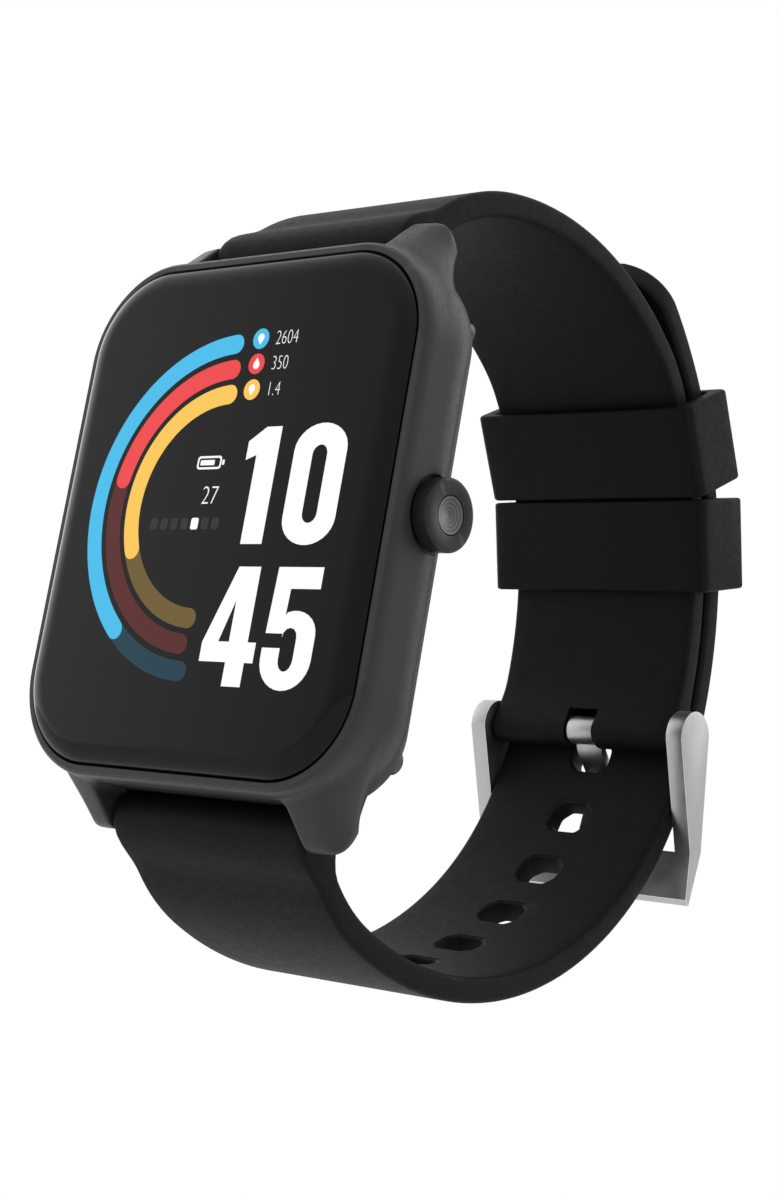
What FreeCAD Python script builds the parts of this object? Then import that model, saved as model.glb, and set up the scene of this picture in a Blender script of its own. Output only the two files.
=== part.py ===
import FreeCAD, Part
import math
import os
import Sketcher

# A rectangular touch-screen wristwatch, buckled closed. Millimetres.
# +Z points to twelve o'clock, the display faces -Y and the crown is on +X.
# The origin is the middle of the space for the wrist. Every sub-part is drawn
# with y = 0 on the plane of the case's front rim, and its Placement moves it
# forward by front_offset.

DIMENSIONS = [
    ("front_offset", 34.0, "wrist centre to the case's front rim"),
    ("case_half_width", 19.5, "widest half width of the case"),
    ("case_half_height", 23.0, "tallest half height of the case"),
    ("case_corner", 8.9, "corner radius at the widest section"),
    ("case_depth", 8.4, "front rim to the joint with the rear cover"),
    ("rim_inset", 0.45, "how far the front rim stands inside the widest section"),
    ("rear_inset", 0.4, "how far the rear edge stands inside the widest section"),
    ("recess_half_width", 18.52, "glass recess"),
    ("recess_half_height", 22.1, "glass recess"),
    ("recess_corner", 8.1, "glass recess"),
    ("recess_depth", 0.95, "glass recess"),
    ("cavity_half_width", 17.3, "room inside the case"),
    ("cavity_half_height", 20.9, "room inside the case"),
    ("cavity_corner", 7.0, "room inside the case"),
    ("glass_gap", 0.17, "gap round the glass"),
    ("glass_proud", 0.9, "glass in front of the rim"),
    ("glass_thick", 1.6, "glass"),
    ("glass_edge_round", 1.1, "rounded front edge of the glass"),
    ("seal_thick", 0.25, "adhesive seal under the glass"),
    ("display_thick", 1.4, "display panel"),
    ("cover_thick", 2.3, "rear cover's depth"),
    ("cover_joint", 0.1, "gap between case and rear cover"),
    ("cover_floor", 1.1, "rear cover's wall"),
    ("hump_radius", 11.5, "raised disc round the sensor window"),
    ("hump_height", 0.8, "raised disc round the sensor window"),
    ("window_radius", 6.9, "sensor window"),
    ("window_thick", 1.4, "sensor window"),
    ("screw_x", 14.6, "rear screws"),
    ("screw_z", 18.2, "rear screws"),
    ("screw_head_radius", 1.1, "rear screws"),
    ("screw_thread_radius", 0.5, "rear screws"),
    ("lug_inner", 11.2, "lug's inner face from the middle"),
    ("lug_outer", 14.8, "lug's outer face from the middle"),
    ("lug_tip_y", 7.0, "centre of the lug's round tip"),
    ("lug_tip_z", 24.6, "centre of the lug's round tip"),
    ("lug_radius", 2.35, "round tip of a lug"),
    ("bar_y", 7.3, "spring bar's axis"),
    ("bar_z", 25.4, "spring bar's axis"),
    ("bar_radius", 0.75, "spring bar's tube"),
    ("tip_radius", 0.4, "spring bar's tip"),
    ("tip_clearance", 0.05, "radial clearance of a tip in its hole"),
    ("strap_width", 22.0, "strap"),
    ("strap_thick", 2.3, "strap"),
    ("eye_radius", 2.15, "strap's thick end round the bar"),
    ("bar_bore_radius", 0.8, "strap's bore for a bar"),
    ("wrap_y", 18.2, "centre of the strap's circular back"),
    ("buckle_strap_radius", 39.0, "wrist face of the buckle strap's circular back"),
    ("tail_radius", 41.9, "wrist face of the long strap's circular back"),
    ("hole_pitch", 7.3, "strap holes"),
    ("hole_half_width", 2.25, "strap holes"),
    ("hole_half_length", 1.7, "strap holes"),
    ("tail_corner", 5.4, "rounded corners of the tail's tip"),
    ("keeper_half_length", 4.6, "keeper along the strap"),
    ("keeper_front", 37.6, "keeper's wrist face from the wrap centre"),
    ("keeper_rear", 45.4, "keeper's outer face from the wrap centre"),
    ("keeper_front_wall", 0.95, "keeper"),
    ("keeper_rear_wall", 1.0, "keeper"),
    ("keeper_half_width", 13.1, "keeper"),
    ("keeper_side_wall", 1.7, "keeper"),
    ("buckle_bar_y", 57.6, "buckle's bar"),
    ("buckle_bar_z", -7.1, "buckle's bar"),
    ("buckle_outer", 13.0, "outer face of the buckle's side plates"),
    ("buckle_head_radius", 2.55, "round head of a side plate"),
    ("crossbar_top", -18.3, "upper face of the buckle's crossbar"),
    ("tongue_half_width", 1.5, "buckle's tongue"),
    ("tongue_thick", 0.8, "buckle's tongue"),
    ("tongue_barrel_radius", 1.45, "tongue's barrel round the bar"),
    ("notch_half_width", 1.8, "gap in the buckle strap for the tongue"),
    ("crown_y", 5.0, "crown's axis"),
    ("crown_z", 0.9, "crown's axis"),
    ("crown_radius", 3.0, "crown's cap"),
    ("crown_face", 20.94, "crown's outer face"),
    ("crown_back", 19.15, "crown's inner face"),
    ("crown_recess_radius", 3.2, "well in the case round the crown"),
    ("crown_recess_floor", 18.6, "well in the case round the crown"),
    ("inlay_radius", 1.6, "dished disc in the crown"),
    ("inlay_thick", 0.7, "dished disc in the crown"),
    ("stem_radius", 0.8, "crown's stem"),
    ("stem_end", 14.35, "inner end of the stem"),
    ("tube_radius", 1.4, "crown's tube"),
    ("running_gap", 0.05, "radial clearance of a running fit"),
    ("board_front", 3.5, "main board's front face"),
    ("board_thick", 0.7, "main board"),
    ("motor_radius", 4.0, "vibration motor"),
    ("motor_height", 2.8, "vibration motor"),
]

# Arcs that carry each strap from its circular back to the lug: the radius of
# the middle of the strap, and the direction from the arc's centre at its end.
BUCKLE_STRAP_START = -10.2
BUCKLE_STRAP_ARCS = [(None, 41.0), (15.3, 55.8), (32.66, 105.4), (20.67, 144.78)]
LONG_STRAP_START = 57.6
LONG_STRAP_ARCS = [(None, -18.0), (30.4, -45.5), (33.5, -113.0), (14.9, -154.0)]
HOLES_BELOW_TONGUE = 5
HOLES_ABOVE_TONGUE = 3
TONGUE_HOLE_ANGLE = -13.1
KEEPER_ANGLES = {"keeper_upper": 32.0, "keeper_lower": 17.75}

doc = FreeCAD.newDocument("smartwatch")
sheet = doc.addObject("Spreadsheet::Sheet", "sizes")
for row, (alias, value, note) in enumerate(DIMENSIONS, start=1):
    sheet.set("A%d" % row, alias)
    sheet.set("B%d" % row, str(value))
    sheet.set("C%d" % row, note)
    sheet.setAlias("B%d" % row, alias)
doc.recompute()


class Size:
    """A length that knows its value and the sheet expression behind it."""

    def __init__(self, value, text):
        self.value = float(value)
        self.text = text

    def __add__(self, other):
        other = as_size(other)
        return Size(self.value + other.value, "(%s + %s)" % (self.text, other.text))

    def __sub__(self, other):
        other = as_size(other)
        return Size(self.value - other.value, "(%s - %s)" % (self.text, other.text))

    def __mul__(self, other):
        other = as_size(other)
        return Size(self.value * other.value, "(%s * %s)" % (self.text, other.text))

    def __neg__(self):
        return Size(-self.value, "(0 - %s)" % self.text)

    def __radd__(self, other):
        return as_size(other) + self

    def __rsub__(self, other):
        return as_size(other) - self

    def __rmul__(self, other):
        return as_size(other) * self


def as_size(number):
    if isinstance(number, Size):
        return number
    return Size(number, "(%s)" % repr(float(number)))


def bind(obj, prop, size):
    obj.setExpression(prop, as_size(size).text)


class Sizes:
    """Reads a driving dimension by its alias."""

    def __getattr__(self, alias):
        return Size(sheet.get(alias), "sizes.%s" % alias)


dim = Sizes()
finished = []


def finish(obj, label):
    obj.Label = label
    finished.append(obj)
    return obj


def seat(obj, label):
    """Finishes a sub-part that is drawn from the rim plane."""
    bind(obj, ".Placement.Base.y", -dim.front_offset)
    return finish(obj, label)


# ---------------------------------------------------------------- sketches

def origin_plane(body, role):
    for feature in body.Origin.OriginFeatures:
        if feature.Role == role:
            return feature
    raise ValueError(role)


def add_sketch(body, role, name, offset=0.0):
    sketch = body.newObject("Sketcher::SketchObject", name)
    sketch.AttachmentSupport = [(origin_plane(body, role), "")]
    sketch.MapMode = "FlatFace"
    bind(sketch, ".AttachmentOffset.Base.z", offset)
    return sketch


def constrain(sketch, name, kind, geometry, size):
    index = sketch.addConstraint(Sketcher.Constraint(kind, *geometry, as_size(size).value))
    sketch.renameConstraint(index, name)
    bind(sketch, "Constraints.%s" % name, size)


def draw_rounded_rectangle(sketch, half_width, half_height, radius):
    w, h, r = [as_size(s).value for s in (half_width, half_height, radius)]
    corners = [(w - r, h - r, 0), (r - w, h - r, 90), (r - w, r - h, 180), (w - r, r - h, 270)]
    arcs = []
    for x, z, start in corners:
        circle = Part.Circle(FreeCAD.Vector(x, z, 0), FreeCAD.Vector(0, 0, 1), r)
        begin = math.radians(start)
        arcs.append(sketch.addGeometry(Part.ArcOfCircle(circle, begin, begin + math.pi / 2)))
    ends = [((w - r, h), (r - w, h)), ((-w, h - r), (-w, r - h)),
            ((r - w, -h), (w - r, -h)), ((w, r - h), (w, h - r))]
    lines = []
    for (x0, z0), (x1, z1) in ends:
        line = Part.LineSegment(FreeCAD.Vector(x0, z0, 0), FreeCAD.Vector(x1, z1, 0))
        lines.append(sketch.addGeometry(line))
    for i in range(4):
        sketch.addConstraint(Sketcher.Constraint("Tangent", arcs[i], 2, lines[i], 1))
        sketch.addConstraint(Sketcher.Constraint("Tangent", lines[i], 2, arcs[(i + 1) % 4], 1))
        direction = "Horizontal" if i % 2 == 0 else "Vertical"
        sketch.addConstraint(Sketcher.Constraint(direction, lines[i]))
    for i in range(1, 4):
        sketch.addConstraint(Sketcher.Constraint("Equal", arcs[0], arcs[i]))
    constrain(sketch, "corner", "Radius", (arcs[0],), radius)
    constrain(sketch, "right", "DistanceX", (-1, 1, lines[3], 1), half_width)
    constrain(sketch, "left", "DistanceX", (lines[1], 1, -1, 1), half_width)
    constrain(sketch, "top", "DistanceY", (-1, 1, lines[0], 1), half_height)
    constrain(sketch, "bottom", "DistanceY", (lines[2], 1, -1, 1), half_height)


def draw_circle(sketch, x, z, radius, name):
    x, z = as_size(x), as_size(z)
    centre = FreeCAD.Vector(x.value, z.value, 0)
    circle = Part.Circle(centre, FreeCAD.Vector(0, 0, 1), as_size(radius).value)
    index = sketch.addGeometry(circle)
    constrain(sketch, name + "_radius", "Radius", (index,), radius)
    place_point(sketch, name, index, 3, x, z)


def place_point(sketch, name, geometry, point, across, up):
    """Ties a point to the sketch's origin; the constraint's sign follows the value's."""
    for kind, size, suffix in (("DistanceX", across, "_across"), ("DistanceY", up, "_up")):
        size = as_size(size)
        if abs(size.value) < 1e-9:
            axis = -2 if kind == "DistanceX" else -1
            sketch.addConstraint(Sketcher.Constraint("PointOnObject", geometry, point, axis))
        elif size.value > 0:
            constrain(sketch, name + suffix, kind, (-1, 1, geometry, point), size)
        else:
            constrain(sketch, name + suffix, kind, (geometry, point, -1, 1), -size)


def draw_outline(sketch, steps):
    """Closed outline of ("line", point, point) and ("arc", centre, radius, from, to) steps.

    An arc may add a Size for its radius, and two more for its centre.
    """
    joins = []
    for step in steps:
        if step[0] == "line":
            start, end = [FreeCAD.Vector(p[0], p[1], 0) for p in step[1:3]]
            index = sketch.addGeometry(Part.LineSegment(start, end))
            joins.append((index, 1, 2))
            continue
        centre, radius, begin, end = step[1:5]
        circle = Part.Circle(FreeCAD.Vector(centre[0], centre[1], 0),
                             FreeCAD.Vector(0, 0, 1), as_size(radius).value)
        low, high = sorted((math.radians(begin), math.radians(end)))
        index = sketch.addGeometry(Part.ArcOfCircle(circle, low, high))
        joins.append((index, 1, 2) if end > begin else (index, 2, 1))
        if isinstance(radius, Size):
            constrain(sketch, "radius_%d" % index, "Radius", (index,), radius)
        if len(step) > 5:
            place_point(sketch, "centre_%d" % index, index, 3, step[5], step[6])
    for i, (index, first, last) in enumerate(joins):
        following, start, end = joins[(i + 1) % len(joins)]
        sketch.addConstraint(Sketcher.Constraint("Coincident", index, last, following, start))


# ---------------------------------------------------------------- bodies

def new_body(name):
    return doc.addObject("PartDesign::Body", name)


def extrude(body, kind, sketch, name, length, side="One side", back=False):
    feature = body.newObject("PartDesign::" + kind, name)
    feature.Profile = sketch
    bind(feature, "Length", length)
    feature.SideType = side
    feature.Reversed = back
    sketch.Visibility = False
    return feature


def plate(body, name, front, back, half_width, half_height, radius, cut=False):
    """A rounded rectangle from y = front to y = back, added or taken away."""
    sketch = add_sketch(body, "XZ_Plane", name + "_sketch", -as_size(front))
    draw_rounded_rectangle(sketch, half_width, half_height, radius)
    length = as_size(back) - front
    return extrude(body, "Pocket" if cut else "Pad", sketch, name, length, back=not cut)


def disc(body, name, front, back, circles, cut=False):
    """Round pads or pockets along Y, from y = front to y = back."""
    sketch = add_sketch(body, "XZ_Plane", name + "_sketch", -as_size(front))
    for i, (x, z, radius) in enumerate(circles):
        draw_circle(sketch, x, z, radius, "c%d" % i)
    length = as_size(back) - front
    return extrude(body, "Pocket" if cut else "Pad", sketch, name, length, back=not cut)


def round_edges(body, base, name, radius, chosen):
    doc.recompute()
    names = []
    for i, edge in enumerate(base.Shape.Edges, start=1):
        if chosen(edge):
            names.append("Edge%d" % i)
    feature = body.newObject("PartDesign::Fillet", name)
    feature.Base = (base, names)
    bind(feature, "Radius", radius)
    return feature


def on_plane(axis, value):
    """Picks edges that lie wholly in the plane axis = value."""
    value = as_size(value).value

    def chosen(edge):
        bounds = edge.BoundBox
        low = getattr(bounds, axis + "Min")
        high = getattr(bounds, axis + "Max")
        return abs(low - value) < 0.02 and abs(high - value) < 0.02
    return chosen


# ---------------------------------------------------------------- primitives

def box(name, x, y, z):
    """x, y and z are each a (low, high) pair."""
    obj = doc.addObject("Part::Box", name)
    for prop, axis, (low, high) in zip(("Length", "Width", "Height"), "xyz", (x, y, z)):
        bind(obj, prop, as_size(high) - low)
        bind(obj, ".Placement.Base." + axis, low)
    return obj


AXIS_TURNS = {
    "x": FreeCAD.Rotation(FreeCAD.Vector(0, 1, 0), 90),
    "y": FreeCAD.Rotation(FreeCAD.Vector(1, 0, 0), -90),
    "z": FreeCAD.Rotation(),
}


def rod(name, axis, base, length, radius):
    """A cylinder that starts at base and runs along +axis."""
    obj = doc.addObject("Part::Cylinder", name)
    obj.Placement = FreeCAD.Placement(FreeCAD.Vector(), AXIS_TURNS[axis])
    for letter, value in zip("xyz", base):
        bind(obj, ".Placement.Base." + letter, value)
    bind(obj, "Height", length)
    bind(obj, "Radius", radius)
    return obj


def join(name, parts):
    obj = doc.addObject("Part::MultiFuse", name)
    obj.Shapes = parts
    return obj


def group(name, parts):
    """Several separate solids kept in one sub-part."""
    obj = doc.addObject("Part::Compound", name)
    obj.Links = parts
    return obj


def cut(name, base, tools):
    obj = doc.addObject("Part::Cut", name)
    obj.Base = base
    obj.Tool = tools[0] if len(tools) == 1 else join(name + "_tools", tools)
    return obj


# ---------------------------------------------------------------- case

def make_case_body():
    body = new_body("CaseBody")
    rim_w = dim.case_half_width - dim.rim_inset
    rim_h = dim.case_half_height - dim.rim_inset
    rear_w = dim.case_half_width - dim.rear_inset
    rear_h = dim.case_half_height - dim.rear_inset
    near = 0.1
    stations = [
        (0.0, rim_w, rim_h, dim.case_corner - dim.rim_inset),
        (dim.case_depth * 0.3, dim.case_half_width - near, dim.case_half_height - near,
         dim.case_corner - near),
        (dim.case_depth * 0.62, dim.case_half_width, dim.case_half_height, dim.case_corner),
        (dim.case_depth, rear_w, rear_h, dim.case_corner - dim.rear_inset),
    ]
    sketches = []
    for i, (depth, half_width, half_height, corner) in enumerate(stations):
        sketch = add_sketch(body, "XZ_Plane", "case_station_%d" % i, -as_size(depth))
        draw_rounded_rectangle(sketch, half_width, half_height, corner)
        sketches.append(sketch)
    loft = body.newObject("PartDesign::AdditiveLoft", "case_loft")
    loft.Profile = sketches[0]
    loft.Sections = sketches[1:]
    loft.Ruled = False
    add_lugs(body)
    doc.recompute()
    solid = body.Tip
    plate(body, "glass_recess", 0.0, dim.recess_depth, dim.recess_half_width,
          dim.recess_half_height, dim.recess_corner, cut=True)
    plate(body, "inner_cavity", dim.recess_depth, dim.case_depth, dim.cavity_half_width,
          dim.cavity_half_height, dim.cavity_corner, cut=True)
    post = 1.75
    corners = [(sx * dim.screw_x, sz * dim.screw_z) for sx in (1, -1) for sz in (1, -1)]
    disc(body, "screw_posts", 5.6, dim.case_depth, [(x, z, post) for x, z in corners])
    disc(body, "screw_threads", 6.2, dim.case_depth + 0.1,
         [(x, z, dim.screw_thread_radius) for x, z in corners], cut=True)
    cut_crown_well(body)
    cut_tip_holes(body)
    doc.recompute()
    if body.Shape.Volume >= solid.Shape.Volume:
        raise RuntimeError("the case's pockets cut nothing")
    return seat(body, "case_body")


def add_lugs(body):
    """Four fingers with round tips, two on each side of the strap."""
    tip_y, tip_z = dim.lug_tip_y, dim.lug_tip_z
    radius = dim.lug_radius
    slant = math.sqrt(0.5) * radius.value
    root = 20.9
    for side in (1, -1):
        start = dim.lug_inner if side > 0 else -dim.lug_outer
        sketch = add_sketch(body, "YZ_Plane", "lug_side_%s" % ("a" if side > 0 else "b"), start)
        for end in (1, -1):
            centre = (tip_y.value, end * tip_z.value)
            front = (centre[0] - slant, centre[1] + end * slant)
            rear = (centre[0] + radius.value, centre[1])
            low = (1.9, end * 22.4)
            foot = (dim.case_depth.value - 0.2, end * 22.2)
            draw_outline(sketch, [
                ("line", low, front),
                ("arc", centre, radius, end * 135.0, 0.0, tip_y, end * tip_z),
                ("line", rear, foot),
                ("line", foot, (foot[0], end * root)),
                ("line", (foot[0], end * root), (low[0], end * root)),
                ("line", (low[0], end * root), low),
            ])
        width = dim.lug_outer - dim.lug_inner
        extrude(body, "Pad", sketch, "lugs_%s" % ("a" if side > 0 else "b"), width)


def cut_crown_well(body):
    sketch = add_sketch(body, "YZ_Plane", "crown_well_sketch", dim.case_half_width + 1.0)
    draw_circle(sketch, dim.crown_y, dim.crown_z, dim.crown_recess_radius, "well")
    extrude(body, "Pocket", sketch, "crown_well", dim.case_half_width + 1.0 - dim.crown_recess_floor)
    sketch = add_sketch(body, "YZ_Plane", "crown_bore_sketch", dim.case_half_width + 1.0)
    draw_circle(sketch, dim.crown_y, dim.crown_z, dim.tube_radius, "bore")
    extrude(body, "Pocket", sketch, "crown_bore", 5.0)


def cut_tip_holes(body):
    """Blind holes for the spring bars' tips, in the lugs' inner faces."""
    hole = dim.tip_radius + dim.tip_clearance
    depth = 1.2
    sketch = add_sketch(body, "YZ_Plane", "tip_hole_sketch", 0.0)
    for end, name in ((1, "upper"), (-1, "lower")):
        draw_circle(sketch, dim.bar_y, end * dim.bar_z, hole, name)
    extrude(body, "Pocket", sketch, "tip_holes", 2 * (dim.lug_inner + depth), side="Symmetric")


# ---------------------------------------------------------------- glass, seal, display

def make_glass_lens():
    body = new_body("GlassLens")
    pad = plate(body, "lens", -dim.glass_proud, dim.glass_thick - dim.glass_proud,
                dim.recess_half_width - dim.glass_gap, dim.recess_half_height - dim.glass_gap,
                dim.recess_corner - dim.glass_gap)
    round_edges(body, pad, "lens_edge", dim.glass_edge_round, on_plane("Y", -dim.glass_proud))
    return seat(body, "glass_lens")


def make_glass_seal():
    body = new_body("GlassSeal")
    back = dim.recess_depth
    front = back - dim.seal_thick
    margin = 0.15
    plate(body, "seal_ring", front, back, dim.recess_half_width - margin,
          dim.recess_half_height - margin, dim.recess_corner - margin)
    plate(body, "seal_window", front, back, dim.cavity_half_width + margin,
          dim.cavity_half_height + margin, dim.cavity_corner + margin, cut=True)
    return seat(body, "glass_seal")


def make_display_panel():
    body = new_body("DisplayPanel")
    front = dim.recess_depth - dim.seal_thick + 0.02
    margin = 0.3
    pad = plate(body, "panel", front, front + dim.display_thick,
                dim.cavity_half_width - margin, dim.cavity_half_height - margin,
                dim.cavity_corner - margin)
    round_edges(body, pad, "panel_edge", 0.15, on_plane("Y", front + dim.display_thick))
    return seat(body, "display_panel")


def make_display_flex():
    """Thin ribbon from the back of the display to the main board."""
    thin = 0.15
    back = dim.recess_depth - dim.seal_thick + 0.02 + dim.display_thick + 0.02
    half = 4.0
    top, bottom = -1.2, -6.0
    run = box("flex_run", (-half, half), (back, back + thin), (bottom, top))
    drop = box("flex_drop", (-half, half), (back, dim.board_front - 0.02), (top - thin, top))
    return seat(join("DisplayFlex", [run, drop]), "display_flex")


def make_inner_frame():
    """Moulded frame that carries the board and the battery."""
    body = new_body("InnerFrame")
    front, back = 2.6, 3.3
    margin = 0.45
    plate(body, "frame_plate", front, back, dim.cavity_half_width - margin,
          dim.cavity_half_height - margin, dim.cavity_corner - margin)
    plate(body, "frame_window", front, back, 12.5, 9.5, 2.0, cut=True)
    return seat(body, "inner_frame")


# ---------------------------------------------------------------- electronics

def make_main_board():
    body = new_body("MainBoard")
    back = dim.board_front + dim.board_thick
    sketch = add_sketch(body, "XZ_Plane", "board_sketch", -dim.board_front)
    right, top, bottom, chamfer = 16.6, 19.6, -4.0, 5.0
    notch, notch_low, notch_high = 14.6, -1.6, 3.4
    corners = [(-right, bottom), (right, bottom), (right, notch_low), (notch, notch_low),
               (notch, notch_high), (right, notch_high), (right, top - chamfer),
               (right - chamfer, top), (chamfer - right, top), (-right, top - chamfer)]
    count = len(corners)
    draw_outline(sketch, [("line", corners[i], corners[(i + 1) % count]) for i in range(count)])
    extrude(body, "Pad", sketch, "board", back - dim.board_front, back=True)
    disc(body, "board_holes", dim.board_front, back, [(0, 17.6, 0.8), (-15.2, -2.6, 0.7)], cut=True)
    return seat(body, "main_board")


CHIPS = {
    "processor": ((-3.5, 3.5), 0.9, (3.0, 10.0)),
    "memory_chip": ((5.0, 9.5), 0.8, (5.0, 10.5)),
    "power_chip": ((-3.0, 1.5), 0.7, (12.0, 16.0)),
    "motion_sensor": ((4.5, 7.3), 0.9, (12.6, 15.4)),
    "radio_module": ((9.2, 13.6), 1.2, (12.0, 15.2)),
}


def make_chips():
    front = dim.board_front + dim.board_thick + 0.02
    for name, (x, height, z) in CHIPS.items():
        chip = box(name + "_block", x, (front - dim.front_offset, front - dim.front_offset + height), z)
        rounded = doc.addObject("Part::Chamfer", name + "_chamfer")
        rounded.Base = chip
        doc.recompute()
        last = (front - dim.front_offset + height).value
        edges = []
        for i, edge in enumerate(chip.Shape.Edges, start=1):
            if abs(edge.BoundBox.YMin - last) < 0.01:
                edges.append((i, 0.12, 0.12))
        rounded.Edges = edges
        finish(rounded, name)


def make_battery():
    body = new_body("Battery")
    pad = battery_block(body, 3.62, 7.8)
    round_edges(body, pad, "battery_round", 0.8, lambda edge: True)
    seat(body, "battery_cell")
    pad_body = new_body("BatteryPad")
    plate(pad_body, "pad_block", 3.34, 3.58, 12.6, 6.2, 0.8)
    pad_body.Placement.Base.z = -11.9
    seat(pad_body, "battery_pad")
    lead = box("battery_lead_tab", (-11.0, -8.6), (4.3, 4.45), (-4.9, -2.2))
    drop = box("battery_lead_drop", (-11.0, -8.6), (4.22, 4.45), (-3.0, -2.2))
    seat(join("BatteryLead", [lead, drop]), "battery_lead")


def battery_block(body, front, back):
    sketch = add_sketch(body, "XZ_Plane", "battery_sketch", -as_size(front))
    left, right, bottom, top = -12.5, 12.5, -18.6, -5.2
    points = [(left, bottom), (right, bottom), (right, top), (left, top)]
    draw_outline(sketch, [("line", points[i], points[(i + 1) % 4]) for i in range(4)])
    return extrude(body, "Pad", sketch, "battery_block", as_size(back) - front, back=True)


MOTOR_X = -9.5
MOTOR_Z = 9.5


def make_motor():
    """Coin vibration motor: a shallow can with a half-disc weight on its pin."""
    skin = 0.25
    front = dim.board_front + dim.board_thick + 0.02
    back = front + dim.motor_height
    can = rod("motor_outside", "y", (MOTOR_X, front, MOTOR_Z), dim.motor_height, dim.motor_radius)
    room = rod("motor_inside", "y", (MOTOR_X, front + skin, MOTOR_Z),
               dim.motor_height - 2 * skin, dim.motor_radius - skin)
    pin = rod("motor_pin", "y", (MOTOR_X, front + 0.1, MOTOR_Z), dim.motor_height - 0.2, 0.4)
    seat(join("MotorCan", [cut("motor_shell", can, [room]), pin]), "motor_can")
    weight_front = front + 2 * skin
    thick = dim.motor_height - 4 * skin
    whole = rod("weight_disc", "y", (MOTOR_X, weight_front, MOTOR_Z), thick, dim.motor_radius - 0.6)
    half = box("weight_half", (MOTOR_X - 4.0, MOTOR_X + 4.0), (front, back), (MOTOR_Z - 8.0, MOTOR_Z - 0.9))
    hub = rod("weight_hub", "y", (MOTOR_X, weight_front, MOTOR_Z), thick, 1.3)
    bore = rod("weight_bore", "y", (MOTOR_X, front, MOTOR_Z), dim.motor_height, 0.4 + dim.running_gap)
    lobe = cut("weight_lobe", whole, [half])
    seat(cut("MotorWeight", join("weight_body", [lobe, hub]), [bore]), "motor_weight")


# ---------------------------------------------------------------- rear cover

def make_rear_cover():
    body = new_body("RearCover")
    front = dim.case_depth + dim.cover_joint
    back = front + dim.cover_thick
    inset = dim.rear_inset + 0.1
    pad = plate(body, "cover_shell", front, back, dim.case_half_width - inset,
                dim.case_half_height - inset, dim.case_corner - inset)
    round_edges(body, pad, "cover_round", 1.6, on_plane("Y", back))
    disc(body, "cover_hump", back - 0.5, back + dim.hump_height, [(0, 0, dim.hump_radius)])
    plate(body, "cover_room", front, back - dim.cover_floor, 15.4, 16.2, 4.0, cut=True)
    outside = back + dim.hump_height
    disc(body, "window_seat", outside - dim.window_thick, outside, [(0, 0, dim.window_radius + 0.1)],
         cut=True)
    disc(body, "window_hole", front, outside, [(0, 0, dim.window_radius - 0.9)], cut=True)
    corners = [(sx * dim.screw_x, sz * dim.screw_z) for sx in (1, -1) for sz in (1, -1)]
    disc(body, "screw_holes", front, back, [(x, z, dim.screw_thread_radius + 0.1) for x, z in corners],
         cut=True)
    disc(body, "screw_sinks", back - 1.0, back,
         [(x, z, dim.screw_head_radius + 0.1) for x, z in corners], cut=True)
    disc(body, "contact_holes", front, back, [(x, CONTACT_Z, 1.05) for x in CONTACT_X], cut=True)
    return seat(body, "rear_cover")


CONTACT_X = (-2.6, 2.6)
CONTACT_Z = -14.2


def make_cover_seal():
    body = new_body("CoverSeal")
    front = dim.case_depth
    back = dim.case_depth + dim.cover_joint
    plate(body, "cover_seal_ring", front, back, 18.4, 21.9, 8.0)
    plate(body, "cover_seal_window", front, back, 17.7, 21.2, 7.4, cut=True)
    return seat(body, "rear_seal")


def make_rear_screws():
    back = dim.case_depth + dim.cover_joint + dim.cover_thick
    screws = []
    for i, (sx, sz) in enumerate([(1, 1), (-1, 1), (1, -1), (-1, -1)]):
        x, z = sx * dim.screw_x, sz * dim.screw_z
        head = rod("screw_head_%d" % i, "y", (x, back - 1.0, z), 0.7, dim.screw_head_radius)
        shank = rod("screw_shank_%d" % i, "y", (x, dim.case_depth - 1.9, z),
                    dim.cover_joint + dim.cover_thick + 0.95, dim.screw_thread_radius - 0.02)
        slot_a = box("screw_slot_a_%d" % i, (x - 0.7, x + 0.7), (back - 0.6, back), (z - 0.13, z + 0.13))
        slot_b = box("screw_slot_b_%d" % i, (x - 0.13, x + 0.13), (back - 0.6, back), (z - 0.7, z + 0.7))
        screws.append(cut("screw_%d" % i, join("screw_body_%d" % i, [head, shank]), [slot_a, slot_b]))
    return seat(group("RearScrews", screws), "rear_screws")


def make_sensor():
    outside = dim.case_depth + dim.cover_joint + dim.cover_thick + dim.hump_height
    seat_plane = outside - dim.window_thick
    body = new_body("SensorWindow")
    pad = disc(body, "window", seat_plane, outside + 0.25, [(0, 0, dim.window_radius)])
    round_edges(body, pad, "window_round", 0.5, on_plane("Y", outside + 0.25))
    seat(body, "sensor_window")
    board_front = 8.0
    board = rod("sensor_disc", "y", (0, board_front, 0), 0.5, 5.6)
    seat(join("SensorBoard", [board, box("sensor_tab", (-1.6, 1.6), (board_front, board_front + 0.5),
                                         (4.0, 8.2))]), "sensor_board")
    face = board_front + 0.52
    lamps = [box("lamp_%d" % i, (-0.8, 0.8), (face, face + 0.8), (z - 0.6, z + 0.6))
             for i, z in enumerate((-3.4, 3.4))]
    seat(group("SensorLamps", lamps), "sensor_leds")
    eye = box("eye_block", (-1.4, 1.4), (face, face + 0.7), (-1.4, 1.4))
    seat(join("Photodiode", [eye, box("eye_foot", (-1.6, 1.6), (face, face + 0.2), (-1.6, 1.6))]),
         "photodiode")
    ring = rod("baffle_outside", "y", (0, face, 0), 1.2, 5.5)
    holes = [rod("baffle_lamp_%d" % i, "y", (0, face, z), 1.2, 1.1) for i, z in enumerate((-3.4, 3.4))]
    holes.append(rod("baffle_eye", "y", (0, face, 0), 1.2, 2.25))
    seat(cut("SensorBaffle", ring, holes), "sensor_baffle")


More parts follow.
